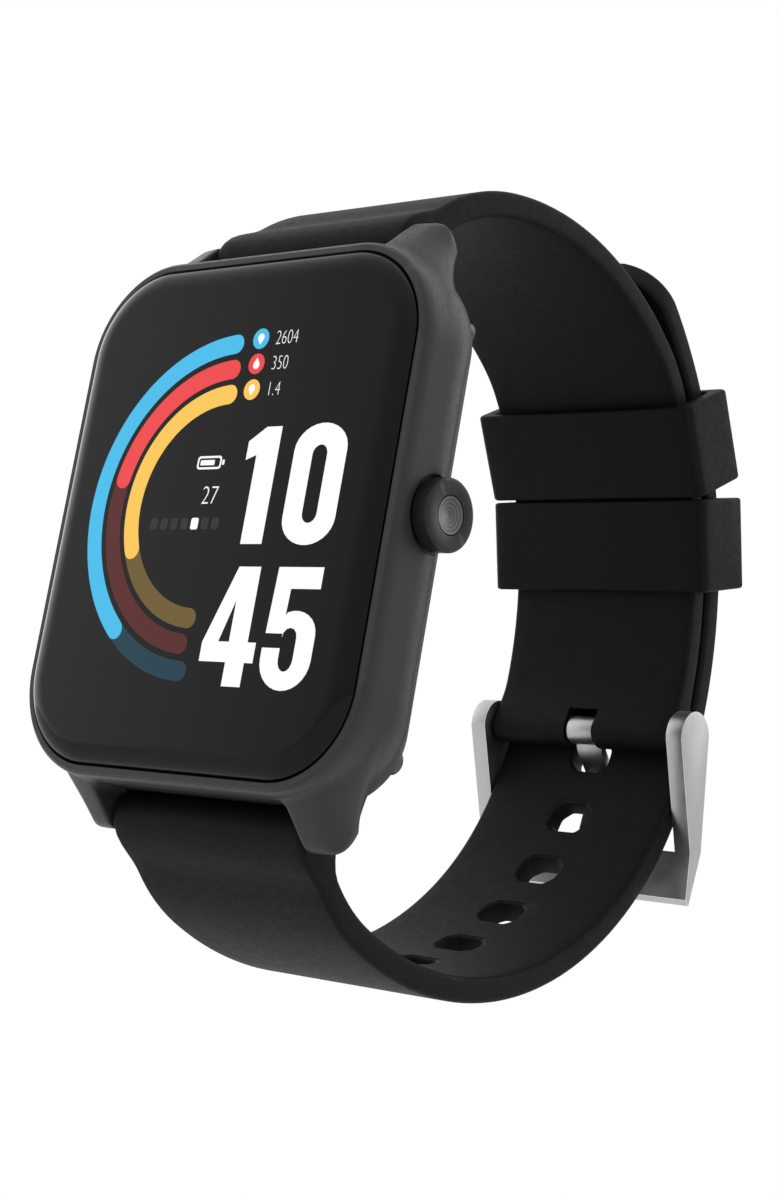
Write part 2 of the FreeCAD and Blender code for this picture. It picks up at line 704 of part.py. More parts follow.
def make_charging():
    back = dim.case_depth + dim.cover_joint + dim.cover_thick
    pins = []
    for i, x in enumerate(CONTACT_X):
        pin = rod("contact_pin_%d" % i, "y", (x, back - 1.6, CONTACT_Z), 1.65, 1.0)
        flange = rod("contact_flange_%d" % i, "y", (x, back - 1.6, CONTACT_Z), 0.45, 1.3)
        pins.append(join("contact_%d" % i, [pin, flange]))
    seat(group("ChargingContacts", pins), "charging_contacts")
    inner = back - dim.cover_floor
    magnets = [rod("magnet_%d" % i, "y", (x, inner - 1.05, CONTACT_Z), 1.0, 1.7)
               for i, x in enumerate((-8.5, 8.5))]
    seat(group("ChargingMagnets", magnets), "charging_magnets")


# ---------------------------------------------------------------- crown

def crown_point(x):
    return (x, dim.crown_y, dim.crown_z)


def make_crown():
    wall_in = 16.6
    tube_out = dim.crown_recess_floor
    tube = rod("tube_outside", "x", crown_point(wall_in), tube_out - wall_in, dim.tube_radius - 0.02)
    bore = rod("tube_bore", "x", crown_point(wall_in), tube_out - wall_in,
               dim.stem_radius + dim.running_gap)
    seal_room = rod("tube_counterbore", "x", crown_point(17.3), tube_out - 17.3, 1.2)
    seat(cut("CrownTube", tube, [bore, seal_room]), "crown_tube")

    seal = doc.addObject("Part::Torus", "CrownSeal")
    seal.Placement = FreeCAD.Placement(FreeCAD.Vector(), AXIS_TURNS["x"])
    for letter, value in zip("xyz", (18.1, dim.crown_y - dim.front_offset, dim.crown_z)):
        bind(seal, ".Placement.Base." + letter, value)
    bind(seal, "Radius2", 0.17)
    bind(seal, "Radius1", dim.stem_radius + 0.18)
    finish(seal, "crown_seal")

    stem = rod("stem_rod", "x", crown_point(dim.stem_end), dim.crown_back - dim.stem_end,
               dim.stem_radius)
    groove = cut("stem_groove", rod("groove_outside", "x", crown_point(15.6), 0.4, 1.2),
                 [rod("groove_inside", "x", crown_point(15.6), 0.4, 0.6)])
    seat(cut("CrownStem", stem, [groove]), "crown_stem")

    clip = rod("clip_outside", "x", crown_point(15.65), 0.3, 1.7)
    hole = rod("clip_hole", "x", crown_point(15.65), 0.3, 0.62)
    mouth = box("clip_mouth", (15.6, 16.0), (dim.crown_y - 0.45, dim.crown_y + 0.45),
                (dim.crown_z - 2.5, dim.crown_z))
    seat(cut("CrownClip", clip, [hole, mouth]), "crown_clip")

    body = new_body("CrownCap")
    sketch = add_sketch(body, "YZ_Plane", "cap_sketch", dim.crown_back)
    draw_circle(sketch, dim.crown_y, dim.crown_z, dim.crown_radius, "cap")
    pad = extrude(body, "Pad", sketch, "cap", dim.crown_face - dim.crown_back)
    round_edges(body, pad, "cap_round", 0.35, on_plane("X", dim.crown_face))
    sketch = add_sketch(body, "YZ_Plane", "dish_sketch", dim.crown_face)
    draw_circle(sketch, dim.crown_y, dim.crown_z, dim.inlay_radius, "dish")
    extrude(body, "Pocket", sketch, "dish", dim.inlay_thick)
    seat(body, "crown_cap")

    disc_out = rod("inlay_disc", "x", crown_point(dim.crown_face - dim.inlay_thick),
                   dim.inlay_thick - 0.05, dim.inlay_radius - 0.02)
    cone = doc.addObject("Part::Cone", "inlay_cone")
    cone.Placement = FreeCAD.Placement(FreeCAD.Vector(), AXIS_TURNS["x"])
    depth = 0.45
    for letter, value in zip("xyz", crown_point(dim.crown_face - 0.05 - depth)):
        bind(cone, ".Placement.Base." + letter, value)
    bind(cone, "Radius1", 0.05)
    bind(cone, "Radius2", dim.inlay_radius - 0.15)
    bind(cone, "Height", depth)
    seat(cut("CrownInlay", disc_out, [cone]), "crown_inlay")


def make_side_switch():
    front = dim.board_front + dim.board_thick + 0.02
    back = 6.4
    housing = box("switch_box", (11.0, 13.6), (front, back), (dim.crown_z - 2.4, dim.crown_z + 2.4))
    radius = 0.7
    bore = rod("switch_bore", "x", crown_point(12.2), 1.4, radius + dim.running_gap)
    seat(cut("SwitchHousing", housing, [bore]), "switch_housing")
    nose = rod("plunger_nose", "x", crown_point(12.9), dim.stem_end - 0.05 - 12.9, radius)
    head = rod("plunger_head", "x", crown_point(14.1), dim.stem_end - 0.05 - 14.1, 0.76)
    seat(join("SwitchPlunger", [nose, head]), "switch_plunger")


# ---------------------------------------------------------------- straps

def polar(centre, radius, degrees):
    angle = math.radians(degrees)
    return (centre[0] + radius * math.cos(angle), centre[1] + radius * math.sin(angle))


def strap_arcs(middle_radius, start, arcs):
    """Tangent arcs of a strap's middle line: (centre, radius, from, to) for each."""
    centre = (dim.wrap_y.value, 0.0)
    chain = []
    begin, current = start, middle_radius
    for radius, end in arcs:
        if radius is not None:
            centre = polar(centre, current - radius, begin)
            current = radius
        chain.append((centre, current, begin, end))
        begin = end
    return chain


def draw_strap(body, name, wrist_radius, start, arcs):
    """The strap's side outline: the wrist face out and the outer face back."""
    half = dim.strap_thick * 0.5
    chain = strap_arcs((wrist_radius + half).value, start, arcs)
    sketch = add_sketch(body, "YZ_Plane", name + "_outline")
    wrist, outer = [], []
    for i, (centre, radius, begin, end) in enumerate(chain):
        inside = wrist_radius if i == 0 else radius - half
        outside = wrist_radius + dim.strap_thick if i == 0 else radius + half
        fixed = (dim.wrap_y, 0.0) if i == 0 else ()
        wrist.append(("arc", centre, inside, begin, end) + fixed)
        outer.insert(0, ("arc", centre, outside, end, begin) + fixed)
    first = chain[0]
    last = chain[-1]
    lug_end = ("line", polar(last[0], last[1] - half.value, last[3]),
               polar(last[0], last[1] + half.value, last[3]))
    free_end = ("line", polar(first[0], first[1] + half.value, first[2]),
                polar(first[0], first[1] - half.value, first[2]))
    draw_outline(sketch, wrist + [lug_end] + outer + [free_end])
    return extrude(body, "Pad", sketch, name + "_band", dim.strap_width, side="Symmetric")


def eye_and_bore(body, name, y, z, radius):
    """Thick round end and the bore through it for a bar."""
    sketch = add_sketch(body, "YZ_Plane", name + "_eye_sketch")
    draw_circle(sketch, y, z, radius, "eye")
    extrude(body, "Pad", sketch, name + "_eye", dim.strap_width, side="Symmetric")
    sketch = add_sketch(body, "YZ_Plane", name + "_bore_sketch")
    draw_circle(sketch, y, z, dim.bar_bore_radius, "bore")
    extrude(body, "Pocket", sketch, name + "_bore", 2 * dim.strap_width, side="Symmetric")


LEVER_X = (5.2, 8.6)


def lever_slot(body, name, end):
    """Opening in the wrist side of the strap's eye for the bar's release lever."""
    sketch = add_sketch(body, "XZ_Plane", name + "_slot_sketch", -dim.bar_y)
    low, high = sorted((end * (dim.bar_z.value - 0.55), end * (dim.bar_z.value + 0.55)))
    points = [(LEVER_X[0], low), (LEVER_X[1], low), (LEVER_X[1], high), (LEVER_X[0], high)]
    draw_outline(sketch, [("line", points[i], points[(i + 1) % 4]) for i in range(4)])
    extrude(body, "Pocket", sketch, name + "_slot", 6.0)


def make_buckle_strap():
    body = new_body("StrapUpper")
    draw_strap(body, "upper", dim.buckle_strap_radius, BUCKLE_STRAP_START, BUCKLE_STRAP_ARCS)
    eye_and_bore(body, "upper_lug", dim.bar_y, dim.bar_z, dim.eye_radius)
    eye_and_bore(body, "upper_buckle", dim.buckle_bar_y, dim.buckle_bar_z, 1.75)
    lever_slot(body, "upper", 1)
    sketch = add_sketch(body, "YZ_Plane", "notch_sketch")
    y, z = dim.buckle_bar_y.value, dim.buckle_bar_z.value
    points = [(y - 3.0, z - 3.0), (y + 3.0, z - 3.0), (y + 3.0, z + 2.1), (y - 3.0, z + 2.1)]
    draw_outline(sketch, [("line", points[i], points[(i + 1) % 4]) for i in range(4)])
    extrude(body, "Pocket", sketch, "tongue_notch", 2 * dim.notch_half_width, side="Symmetric")
    return seat(body, "strap_upper")


def strap_places(chain, distances):
    """Points and directions along a strap's middle line, measured from its first arc's angle 0."""
    places = []
    for distance in distances:
        for centre, radius, begin, end in chain:
            length = radius * math.radians(begin - end)
            if distance <= length:
                angle = begin - math.degrees(distance / radius)
                places.append((polar(centre, radius, angle), angle))
                break
            distance -= length
    return places


def make_long_strap():
    body = new_body("StrapLower")
    band = draw_strap(body, "lower", dim.tail_radius, LONG_STRAP_START, LONG_STRAP_ARCS)
    tip = polar((dim.wrap_y.value, 0.0), dim.tail_radius.value + dim.strap_thick.value / 2,
                LONG_STRAP_START)
    half_width = dim.strap_width.value / 2

    def at_tip(edge):
        middle = edge.CenterOfMass
        side = abs(abs(middle.x) - half_width) < 0.01
        return side and math.hypot(middle.y - tip[0], middle.z - tip[1]) < 0.1
    round_edges(body, band, "tail_rounding", dim.tail_corner, at_tip)
    eye_and_bore(body, "lower_lug", dim.bar_y, -dim.bar_z, dim.eye_radius)
    lever_slot(body, "lower", -1)
    chain = strap_arcs((dim.tail_radius + dim.strap_thick * 0.5).value, LONG_STRAP_START,
                       LONG_STRAP_ARCS)
    used = chain[0][1] * math.radians(LONG_STRAP_START - TONGUE_HOLE_ANGLE)
    pitch = dim.hole_pitch.value
    distances = [used + i * pitch for i in range(-HOLES_ABOVE_TONGUE, HOLES_BELOW_TONGUE + 1)]
    slugs = []
    for i, ((y, z), angle) in enumerate(strap_places(chain, distances)):
        slugs.append(hole_slug("strap_hole_%d" % i, y, z, angle))
    return seat(cut("StrapLowerCut", body, slugs), "strap_lower")


def hole_slug(name, y, z, angle):
    """Octagonal plug with its length across the strap, turned to face out of the strap."""
    corner = 0.9
    plug = doc.addObject("Part::Box", name + "_block")
    bind(plug, "Length", 2 * dim.hole_half_width)
    bind(plug, "Width", 2 * dim.strap_thick)
    bind(plug, "Height", 2 * dim.hole_half_length)
    turn = FreeCAD.Rotation(FreeCAD.Vector(1, 0, 0), angle)
    middle = FreeCAD.Vector(dim.hole_half_width.value, dim.strap_thick.value,
                            dim.hole_half_length.value)
    plug.Placement = FreeCAD.Placement(FreeCAD.Vector(0, y, z) - turn.multVec(middle), turn)
    doc.recompute()
    chamfer = doc.addObject("Part::Chamfer", name)
    chamfer.Base = plug
    depth = turn.multVec(FreeCAD.Vector(0, 1, 0))
    edges = []
    for i, edge in enumerate(plug.Shape.Edges, start=1):
        along = edge.Vertexes[1].Point - edge.Vertexes[0].Point
        if abs(along.normalize().dot(depth)) > 0.99:
            edges.append((i, corner, corner))
    chamfer.Edges = edges
    return chamfer


# ---------------------------------------------------------------- keepers

def make_keeper(name, angle):
    """A square loop round both straps, turned about the centre of the straps' round back."""
    front, rear = dim.keeper_front, dim.keeper_rear
    half = dim.keeper_half_length
    body = new_body(name.title().replace("_", ""))
    sketch = add_sketch(body, "XY_Plane", name + "_loop", -half)
    front_in = front + dim.keeper_front_wall
    rear_in = rear - dim.keeper_rear_wall
    width = dim.keeper_half_width
    width_in = width - dim.keeper_side_wall
    for tag, w, near, far in (("outer", width, front, rear), ("inner", width_in, front_in, rear_in)):
        x, a, b = w.value, near.value, far.value
        points = [(-x, a), (x, a), (x, b), (-x, b)]
        first = sketch.GeometryCount
        draw_outline(sketch, [("line", points[i], points[(i + 1) % 4]) for i in range(4)])
        place_point(sketch, tag + "_low", first, 1, -w, near)
        place_point(sketch, tag + "_high", first + 1, 2, w, far)
        for i, kind in enumerate(("Horizontal", "Vertical", "Horizontal", "Vertical")):
            sketch.addConstraint(Sketcher.Constraint(kind, first + i))
    pad = extrude(body, "Pad", sketch, name + "_pad", 2 * half)
    outer = dim.keeper_half_width.value

    def chosen(edge):
        bounds = edge.BoundBox
        upright = bounds.ZMax - bounds.ZMin > half.value
        return upright and abs(abs(bounds.XMax) - outer) < 0.01
    round_edges(body, pad, name + "_round", 0.3, chosen)
    turn = FreeCAD.Rotation(FreeCAD.Vector(1, 0, 0), angle)
    body.Placement = FreeCAD.Placement(FreeCAD.Vector(), turn)
    bind(body, ".Placement.Base.y", dim.wrap_y - dim.front_offset)
    return finish(body, name)


# ---------------------------------------------------------------- bars

def make_spring_bar(name, end):
    """Quick-release bar: tube with a fixed tip, sprung tip with its lever, and the coil."""
    y, z = dim.bar_y, end * dim.bar_z
    half = 10.6
    wall = 0.2
    tube = rod(name + "_tube_outside", "x", (-half, y, z), 2 * half, dim.bar_radius)
    fixed = rod(name + "_fixed_tip", "x", (-12.1, y, z), 12.1 - half, dim.tip_radius)
    bore = rod(name + "_tube_bore", "x", (-half + 1.0, y, z), 2 * half, dim.bar_radius - wall)
    slot = box(name + "_tube_slot", (LEVER_X[0] + 0.2, LEVER_X[1] - 0.2), (y, y + 2.0),
               (z - 0.45, z + 0.45))
    seat(cut(name + "_tube_body", join(name + "_tube_blank", [tube, fixed]), [bore, slot]),
         name + "_tube")
    fit = dim.bar_radius - wall - dim.running_gap
    plunger = rod(name + "_plunger", "x", (7.4, y, z), 3.0, fit)
    tip = rod(name + "_sprung_tip", "x", (10.0, y, z), 2.1, dim.tip_radius)
    arm = rod(name + "_arm", "y", (7.85, y, z), 2.5, 0.35)
    knob = rod(name + "_knob", "y", (7.85, y + 2.2, z), 0.5, 0.5)
    seat(join(name + "_pin_body", [plunger, tip, arm, knob]), name + "_pin")
    coil = rod(name + "_coil_outside", "x", (-9.0, y, z), 14.9, fit - 0.02)
    core = rod(name + "_coil_core", "x", (-9.0, y, z), 14.9, 0.25)
    seat(cut(name + "_coil", coil, [core]), name + "_spring")


# ---------------------------------------------------------------- buckle

def make_buckle():
    """Two side plates with round heads, and the crossbar that the tongue rests on."""
    body = new_body("BuckleFrame")
    sketch = add_sketch(body, "YZ_Plane", "plate_sketch")
    head = (dim.buckle_bar_y.value, dim.buckle_bar_z.value)
    radius = dim.buckle_head_radius
    front_turn, rear_turn = 195.0, 12.0
    front = polar(head, radius.value, front_turn)
    rear = polar(head, radius.value, rear_turn)
    knee, low, tip, heel = (59.7, -18.3), (60.1, -22.9), (60.75, -23.4), (61.65, -18.0)
    draw_outline(sketch, [
        ("arc", head, radius, front_turn, rear_turn, dim.buckle_bar_y, dim.buckle_bar_z),
        ("line", rear, heel),
        ("line", heel, tip),
        ("line", tip, low),
        ("line", low, knee),
        ("line", knee, front),
    ])
    extrude(body, "Pad", sketch, "plates", 2 * dim.buckle_outer, side="Symmetric")
    gap = (-dim.lug_inner, dim.lug_inner)
    between = box("buckle_gap", gap, (50.0, 66.0), (dim.crossbar_top, 0.0))
    rest = box("tongue_rest", (-dim.tongue_half_width - 0.15, dim.tongue_half_width + 0.15),
               (60.3, 63.0), (-19.6, -18.0))
    hole = dim.tip_radius + dim.tip_clearance
    holes = rod("buckle_tip_holes", "x", (-12.4, dim.buckle_bar_y, dim.buckle_bar_z), 24.8, hole)
    seat(cut("BuckleFrameCut", body, [between, rest, holes]), "buckle_frame")


def make_buckle_bar():
    half = 10.9
    tube = rod("buckle_bar_tube", "x", (-half, dim.buckle_bar_y, dim.buckle_bar_z), 2 * half,
               dim.bar_radius)
    tips = rod("buckle_bar_tips", "x", (-12.2, dim.buckle_bar_y, dim.buckle_bar_z), 24.4,
               dim.tip_radius)
    seat(join("BuckleBar", [tube, tips]), "buckle_spring_bar")


TONGUE_PATH = [(58.3, -7.5), (59.2, -9.1), (61.3, -11.1), (61.95, -13.2), (61.55, -16.5),
               (61.1, -19.5)]


def offset_path(path, distance):
    """The path moved sideways; each corner keeps the blade's thickness."""
    moved = []
    for i, (y, z) in enumerate(path):
        before = path[max(i - 1, 0)]
        after = path[min(i + 1, len(path) - 1)]
        along = (after[0] - before[0], after[1] - before[1])
        size = math.hypot(*along)
        moved.append((y - along[1] / size * distance, z + along[0] / size * distance))
    return moved


def make_tongue():
    body = new_body("BuckleTongue")
    sketch = add_sketch(body, "YZ_Plane", "barrel_sketch")
    draw_circle(sketch, dim.buckle_bar_y, dim.buckle_bar_z, dim.tongue_barrel_radius, "barrel")
    width = 2 * dim.tongue_half_width
    extrude(body, "Pad", sketch, "barrel", width, side="Symmetric")
    half = dim.tongue_thick.value / 2
    edge = offset_path(TONGUE_PATH, half) + offset_path(TONGUE_PATH, -half)[::-1]
    count = len(edge)
    sketch = add_sketch(body, "YZ_Plane", "blade_sketch")
    draw_outline(sketch, [("line", edge[i], edge[(i + 1) % count]) for i in range(count)])
    extrude(body, "Pad", sketch, "blade", width, side="Symmetric")
    sketch = add_sketch(body, "YZ_Plane", "tongue_bore_sketch")
    draw_circle(sketch, dim.buckle_bar_y, dim.buckle_bar_z, dim.bar_radius + dim.running_gap, "bore")
    extrude(body, "Pocket", sketch, "tongue_bore", 2 * width, side="Symmetric")
    seat(body, "buckle_tongue")


def build():
    make_case_body()
    make_glass_lens()
    make_glass_seal()
    make_display_panel()
    make_display_flex()
    make_inner_frame()
    make_main_board()
    make_chips()
    make_battery()
    make_motor()
    make_rear_cover()
    make_cover_seal()
    make_rear_screws()
    make_sensor()
    make_charging()
    make_crown()
    make_side_switch()
    make_buckle_strap()
    make_long_strap()
    for name, angle in KEEPER_ANGLES.items():
        make_keeper(name, angle)
    make_spring_bar("upper_bar", 1)
    make_spring_bar("lower_bar", -1)
    make_buckle()
    make_buckle_bar()
    make_tongue()
    doc.recompute()


def check():
    for obj in doc.Objects:
        if "Invalid" in obj.State or "Error" in obj.State:
            raise RuntimeError("%s failed: %s" % (obj.Name, obj.State))
    for obj in finished:
        if obj.Shape.isNull() or not obj.Shape.isValid() or not obj.Shape.Solids:
            raise RuntimeError("%s has no valid solid" % obj.Label)


build()
check()
os.makedirs("parts", exist_ok=True)
for obj in finished:
    obj.Shape.exportStep("parts/%s.step" % obj.Label)
    print(obj.Label, len(obj.Shape.Solids), round(obj.Shape.Volume, 2))
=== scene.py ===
import math

import bmesh
import bpy
import numpy as np
from mathutils import Matrix, Quaternion, Vector


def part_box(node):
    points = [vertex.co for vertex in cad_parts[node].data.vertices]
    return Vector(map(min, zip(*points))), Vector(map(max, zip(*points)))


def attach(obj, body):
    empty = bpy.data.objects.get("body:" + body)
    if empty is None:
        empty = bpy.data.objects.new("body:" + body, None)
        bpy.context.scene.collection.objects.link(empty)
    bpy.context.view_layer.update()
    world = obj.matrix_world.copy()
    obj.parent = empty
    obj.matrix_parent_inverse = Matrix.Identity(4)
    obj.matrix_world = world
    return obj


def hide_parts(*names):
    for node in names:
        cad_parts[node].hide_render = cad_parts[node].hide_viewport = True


# The looks of a touch-screen wristwatch, buckled closed. Sizes are millimetres in the
# watch's own frame: +Z to twelve o'clock, +X to the crown, y = 0 on the case's front rim
# and growing towards the wrist. place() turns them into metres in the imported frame.

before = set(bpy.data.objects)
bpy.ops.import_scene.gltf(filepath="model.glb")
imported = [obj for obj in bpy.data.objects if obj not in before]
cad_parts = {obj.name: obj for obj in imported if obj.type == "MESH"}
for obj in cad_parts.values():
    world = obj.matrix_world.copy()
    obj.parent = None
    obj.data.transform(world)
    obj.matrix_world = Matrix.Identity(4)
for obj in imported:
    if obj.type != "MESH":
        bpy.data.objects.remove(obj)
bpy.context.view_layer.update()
MM = 0.001
MERGE = 0.004
RIM_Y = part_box("case_body")[0].y

# ---- sizes

CASE_HALF = (19.5, 23.0)
CASE_CORNER = 8.9
CASE_DEPTH = 8.4
SIDE_CURVE_START = 3.8
SIDE_CURVE_RADIUS = 5.0
SIDE_CURVE_END = 7.1
SIDE_SLOPE = 0.88
CORNER_FULL = (12.0, 18.0, 0.28)
RECESS_HALF = (18.52, 22.1)
RECESS_DEPTH = 0.95
GLASS_GAP = 0.08
GLASS_FRONT = -0.88
GLASS_BACK = 0.7
GLASS_EDGE = (1.9, 1.15)
LUG_X = (11.25, 14.75)
LUG_TIP = (6.0, 24.3)
LUG_RADIUS = 2.34
LUG_CREST = 0.45
LUG_EDGES = (0.2, 1.5)
SCOOP_RADIUS = 3.4
SLOPE_START = 1.9
BAR = (7.3, 25.4)
CROWN = (5.0, 0.9)
CROWN_WELL = 3.2
CROWN_FLOOR = 18.6
CROWN_RADIUS = 3.0
CROWN_FACE = 20.94
CROWN_BACK = 19.15
INLAY_RADIUS = 1.6

STRAP_HALF = 11.0
STRAP_THICK = 2.3
STRAP_EDGE = 0.5
EYE_RADIUS = 2.37
BUCKLE_EYE_RADIUS = 1.75
WRAP = (18.2, 0.0)
BUCKLE_STRAP_MIDDLE = 39.0 + STRAP_THICK / 2
BUCKLE_STRAP_START = -10.2
BUCKLE_STRAP_ARCS = [(None, 41.0), (15.3, 55.8), (32.66, 105.4), (20.67, 144.78)]
LONG_STRAP_MIDDLE = 41.9 + STRAP_THICK / 2
LONG_STRAP_START = 57.6
LONG_STRAP_ARCS = [(None, -18.0), (30.4, -45.5), (33.5, -113.0), (14.9, -154.0)]
TAIL_CORNER = 5.4
HOLE_PITCH = 7.3
HOLE_HALF = (2.25, 1.7)
HOLE_CHAMFER = 0.95
HOLE_FLARE = 0.28
USED_HOLE_ANGLE = -13.1
HOLES_BEFORE = 3
HOLES_AFTER = 5

KEEPERS = {"keeper_upper": ("upper_keeper", 32.0), "keeper_lower": ("lower_keeper", 17.75)}
KEEPER_OUTER = (13.1, 37.6, 45.4)
KEEPER_INNER = (11.4, 38.55, 44.4)
KEEPER_HALF = 4.6
KEEPER_EDGE = 0.32

BUCKLE_BAR = (57.6, -7.1)
BUCKLE_HEAD = 2.55
BUCKLE_X = (11.2, 13.0)
BUCKLE_BEVEL = 0.28
BUCKLE_POINTS = [(61.65, -18.0), (60.75, -23.4), (60.1, -22.9), (59.7, -18.3)]
CROSSBAR = [(59.7, -18.3), (61.55, -18.3), (60.75, -23.4), (60.1, -22.9)]
TONGUE_REST = ((60.3, 63.0), (-19.6, -18.0))
TONGUE_BEVEL = 0.16
BEVEL_STEPS = 3
BEVEL_ANGLE = 30
TONGUE_PATH = [(58.3, -7.5), (59.2, -9.1), (61.3, -11.1), (61.95, -13.2), (61.55, -16.5),
               (61.1, -19.5)]
TONGUE_HALF = 1.5
TONGUE_THICK = 0.8
BARREL_RADIUS = 1.45
NOTCH_HALF = 1.8

CAMERA_PLACE = (0.12626, -0.15668, -0.03572)
CAMERA_TARGET = (-0.00513, -0.00439, -0.00013)
CAMERA_ROLL = 9.726
CAMERA_LENS = 64.76
CAMERA_REACH = 0.5
SENSOR = 36.0
FLOOR_Z = -0.12
FLOOR_HALF = 3.0
FLOOR_STEPS = 24


# ---- mesh helpers

def place(points):
    """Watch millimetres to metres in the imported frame."""
    points = np.asarray(points, float).reshape(-1, 3)
    return points * MM + np.array([0.0, RIM_Y, 0.0])


def new_object(name, data):
    """An object in the scene that holds the data."""
    obj = bpy.data.objects.new(name, data)
    bpy.context.scene.collection.objects.link(obj)
    return obj


def mesh_object(name, points, faces):
    """A mesh object from watch-frame points, with doubled points merged and normals out."""
    mesh = bpy.data.meshes.new(name)
    mesh.from_pydata([tuple(p) for p in place(points)], [], [tuple(f) for f in faces])
    work = bmesh.new()
    work.from_mesh(mesh)
    bmesh.ops.remove_doubles(work, verts=work.verts, dist=MERGE * MM)
    bmesh.ops.recalc_face_normals(work, faces=work.faces)
    work.to_mesh(mesh)
    work.free()
    return new_object(name, mesh)


def shade(obj, degrees=35.0):
    for polygon in obj.data.polygons:
        polygon.use_smooth = True
    obj.data.set_sharp_from_angle(angle=math.radians(degrees))
    return obj


def settle(obj, material, body, replaces=(), degrees=35.0):
    """Shade a finished piece, give it its material and put it on its body."""
    if not obj.data.materials:
        obj.data.materials.append(material)
    shade(obj, degrees)
    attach(obj, body)
    if replaces:
        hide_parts(*replaces)
    return obj


def grid(rows, columns, wrap_rows=False, wrap_columns=False):
    """Quads over rows x columns points."""
    faces = []
    for i in range(rows if wrap_rows else rows - 1):
        near = i * columns
        far = (i + 1) % rows * columns
        for j in range(columns if wrap_columns else columns - 1):
            beside = (j + 1) % columns
            faces.append((near + j, near + beside, far + beside, far + j))
    return faces


def loft(rings, caps=True, closed=False):
    """Points and faces through rings of equal length."""
    count = len(rings[0])
    points = np.concatenate([np.asarray(r, float) for r in rings])
    faces = grid(len(rings), count, wrap_rows=closed, wrap_columns=True)
    if caps and not closed:
        faces.append(tuple(range(count)))
        last = (len(rings) - 1) * count
        faces.append(tuple(last + i for i in reversed(range(count))))
    return points, faces


def evaluated_mesh(obj):
    """A copy of the object's mesh with its modifiers applied."""
    graph = bpy.context.evaluated_depsgraph_get()
    return bpy.data.meshes.new_from_object(obj.evaluated_get(graph))


def apply_modifiers(obj):
    mesh = evaluated_mesh(obj)
    obj.modifiers.clear()
    obj.data = mesh


def combine(obj, others, operation):
    """Boolean of obj with the others, applied; the others are removed."""
    for other in others:
        modifier = obj.modifiers.new("boolean", "BOOLEAN")
        modifier.operation = operation
        modifier.solver = "EXACT"
        modifier.object = other
    apply_modifiers(obj)
    for other in others:
        bpy.data.objects.remove(other)
    return obj


def rounded_outline(half_a, half_b, radius, corner_steps=12, side_steps=(12, 14)):
    """Closed rounded rectangle, anticlockwise from the middle of the +a side."""
    points = []
    for quarter in range(4):
        turn = math.radians(90.0 * quarter)
        straight = (half_b, half_a)[quarter % 2] - radius
        reach = (half_a, half_b)[quarter % 2]
        steps = side_steps[quarter % 2]
        side = [(reach, -straight + 2 * straight * i / steps) for i in range(steps)]
        centre = (reach - radius, straight)
        arc = [(centre[0] + radius * math.cos(math.pi / 2 * i / corner_steps),
                centre[1] + radius * math.sin(math.pi / 2 * i / corner_steps))
               for i in range(corner_steps)]
        for a, b in side + arc:
            points.append((a * math.cos(turn) - b * math.sin(turn),
                           a * math.sin(turn) + b * math.cos(turn)))
    return np.array(points)


def at_depth(outline, y):
    """(x, z) points as (x, y, z) points at depth y."""
    return np.stack([outline[:, 0], np.full(len(outline), y), outline[:, 1]], 1)


def lathe(profile, centre, axis, steps=96):
    """Turn a profile of (radius, along) about an axis through centre; ends on the axis close."""
    rings = []
    for radius, along in profile:
        angles = np.linspace(0.0, 2 * math.pi, steps, endpoint=False)
        across, up = radius * np.cos(angles), radius * np.sin(angles)
        if axis == "x":
            ring = np.stack([np.full(steps, along), centre[0] + across, centre[1] + up], 1)
        else:
            ring = np.stack([centre[0] + across, np.full(steps, along), centre[1] + up], 1)
        rings.append(ring)
    return loft(rings, caps=True)


def arc_points(centre, radius, start, end, steps):
    angles = np.radians(np.linspace(start, end, steps + 1))
    return np.stack([centre[0] + radius * np.cos(angles), centre[1] + radius * np.sin(angles)], 1)


# ---- case

def distance_box(x, z, half, radius):
    """Signed distance to a rounded rectangle."""
    qx = np.abs(x) - (half[0] - radius)
    qz = np.abs(z) - (half[1] - radius)
    outside = np.hypot(np.maximum(qx, 0.0), np.maximum(qz, 0.0))
    return outside + np.minimum(np.maximum(qx, qz), 0.0) - radius


def distance_plain(x, z):
    """Signed distance to the case's outline without its lugs."""
    return distance_box(x, z, CASE_HALF, CASE_CORNER)


def blend_union(a, b, radius):
    near = np.hypot(np.maximum(radius - a, 0.0), np.maximum(radius - b, 0.0))
    return np.maximum(radius, np.minimum(a, b)) - near


def blend_cut(a, b, radius):
    near = np.hypot(np.maximum(radius + a, 0.0), np.maximum(radius + b, 0.0))
    return np.minimum(-radius, np.maximum(a, b)) + near


def distance_outline(x, z):
    """Case outline with its four lug fingers and the scoops beside them."""
    case = distance_plain(x, z)
    middle = (LUG_X[0] + LUG_X[1]) / 2
    finger = np.abs(np.abs(x) - middle) - (LUG_X[1] - LUG_X[0]) / 2
    finger = np.maximum(finger, 14.0 - np.abs(z))
    radius = np.where(np.abs(x) > middle, SCOOP_RADIUS, 0.9)
    return blend_union(case, finger, radius)


def side_taper(y, z):
    """How far the sides have drawn in at depth y: an arc, then a slant, less so by the corners."""
    turned = np.clip(y, SIDE_CURVE_START, SIDE_CURVE_END) - SIDE_CURVE_START
    drawn = SIDE_CURVE_RADIUS - np.sqrt(SIDE_CURVE_RADIUS ** 2 - turned ** 2)
    drawn = drawn + SIDE_SLOPE * np.maximum(y - SIDE_CURVE_END, 0.0)
    start, end, kept = CORNER_FULL
    share = np.clip((np.abs(z) - start) / (end - start), 0.0, 1.0)
    return drawn * (1 - kept * share ** 2 * (3 - 2 * share))


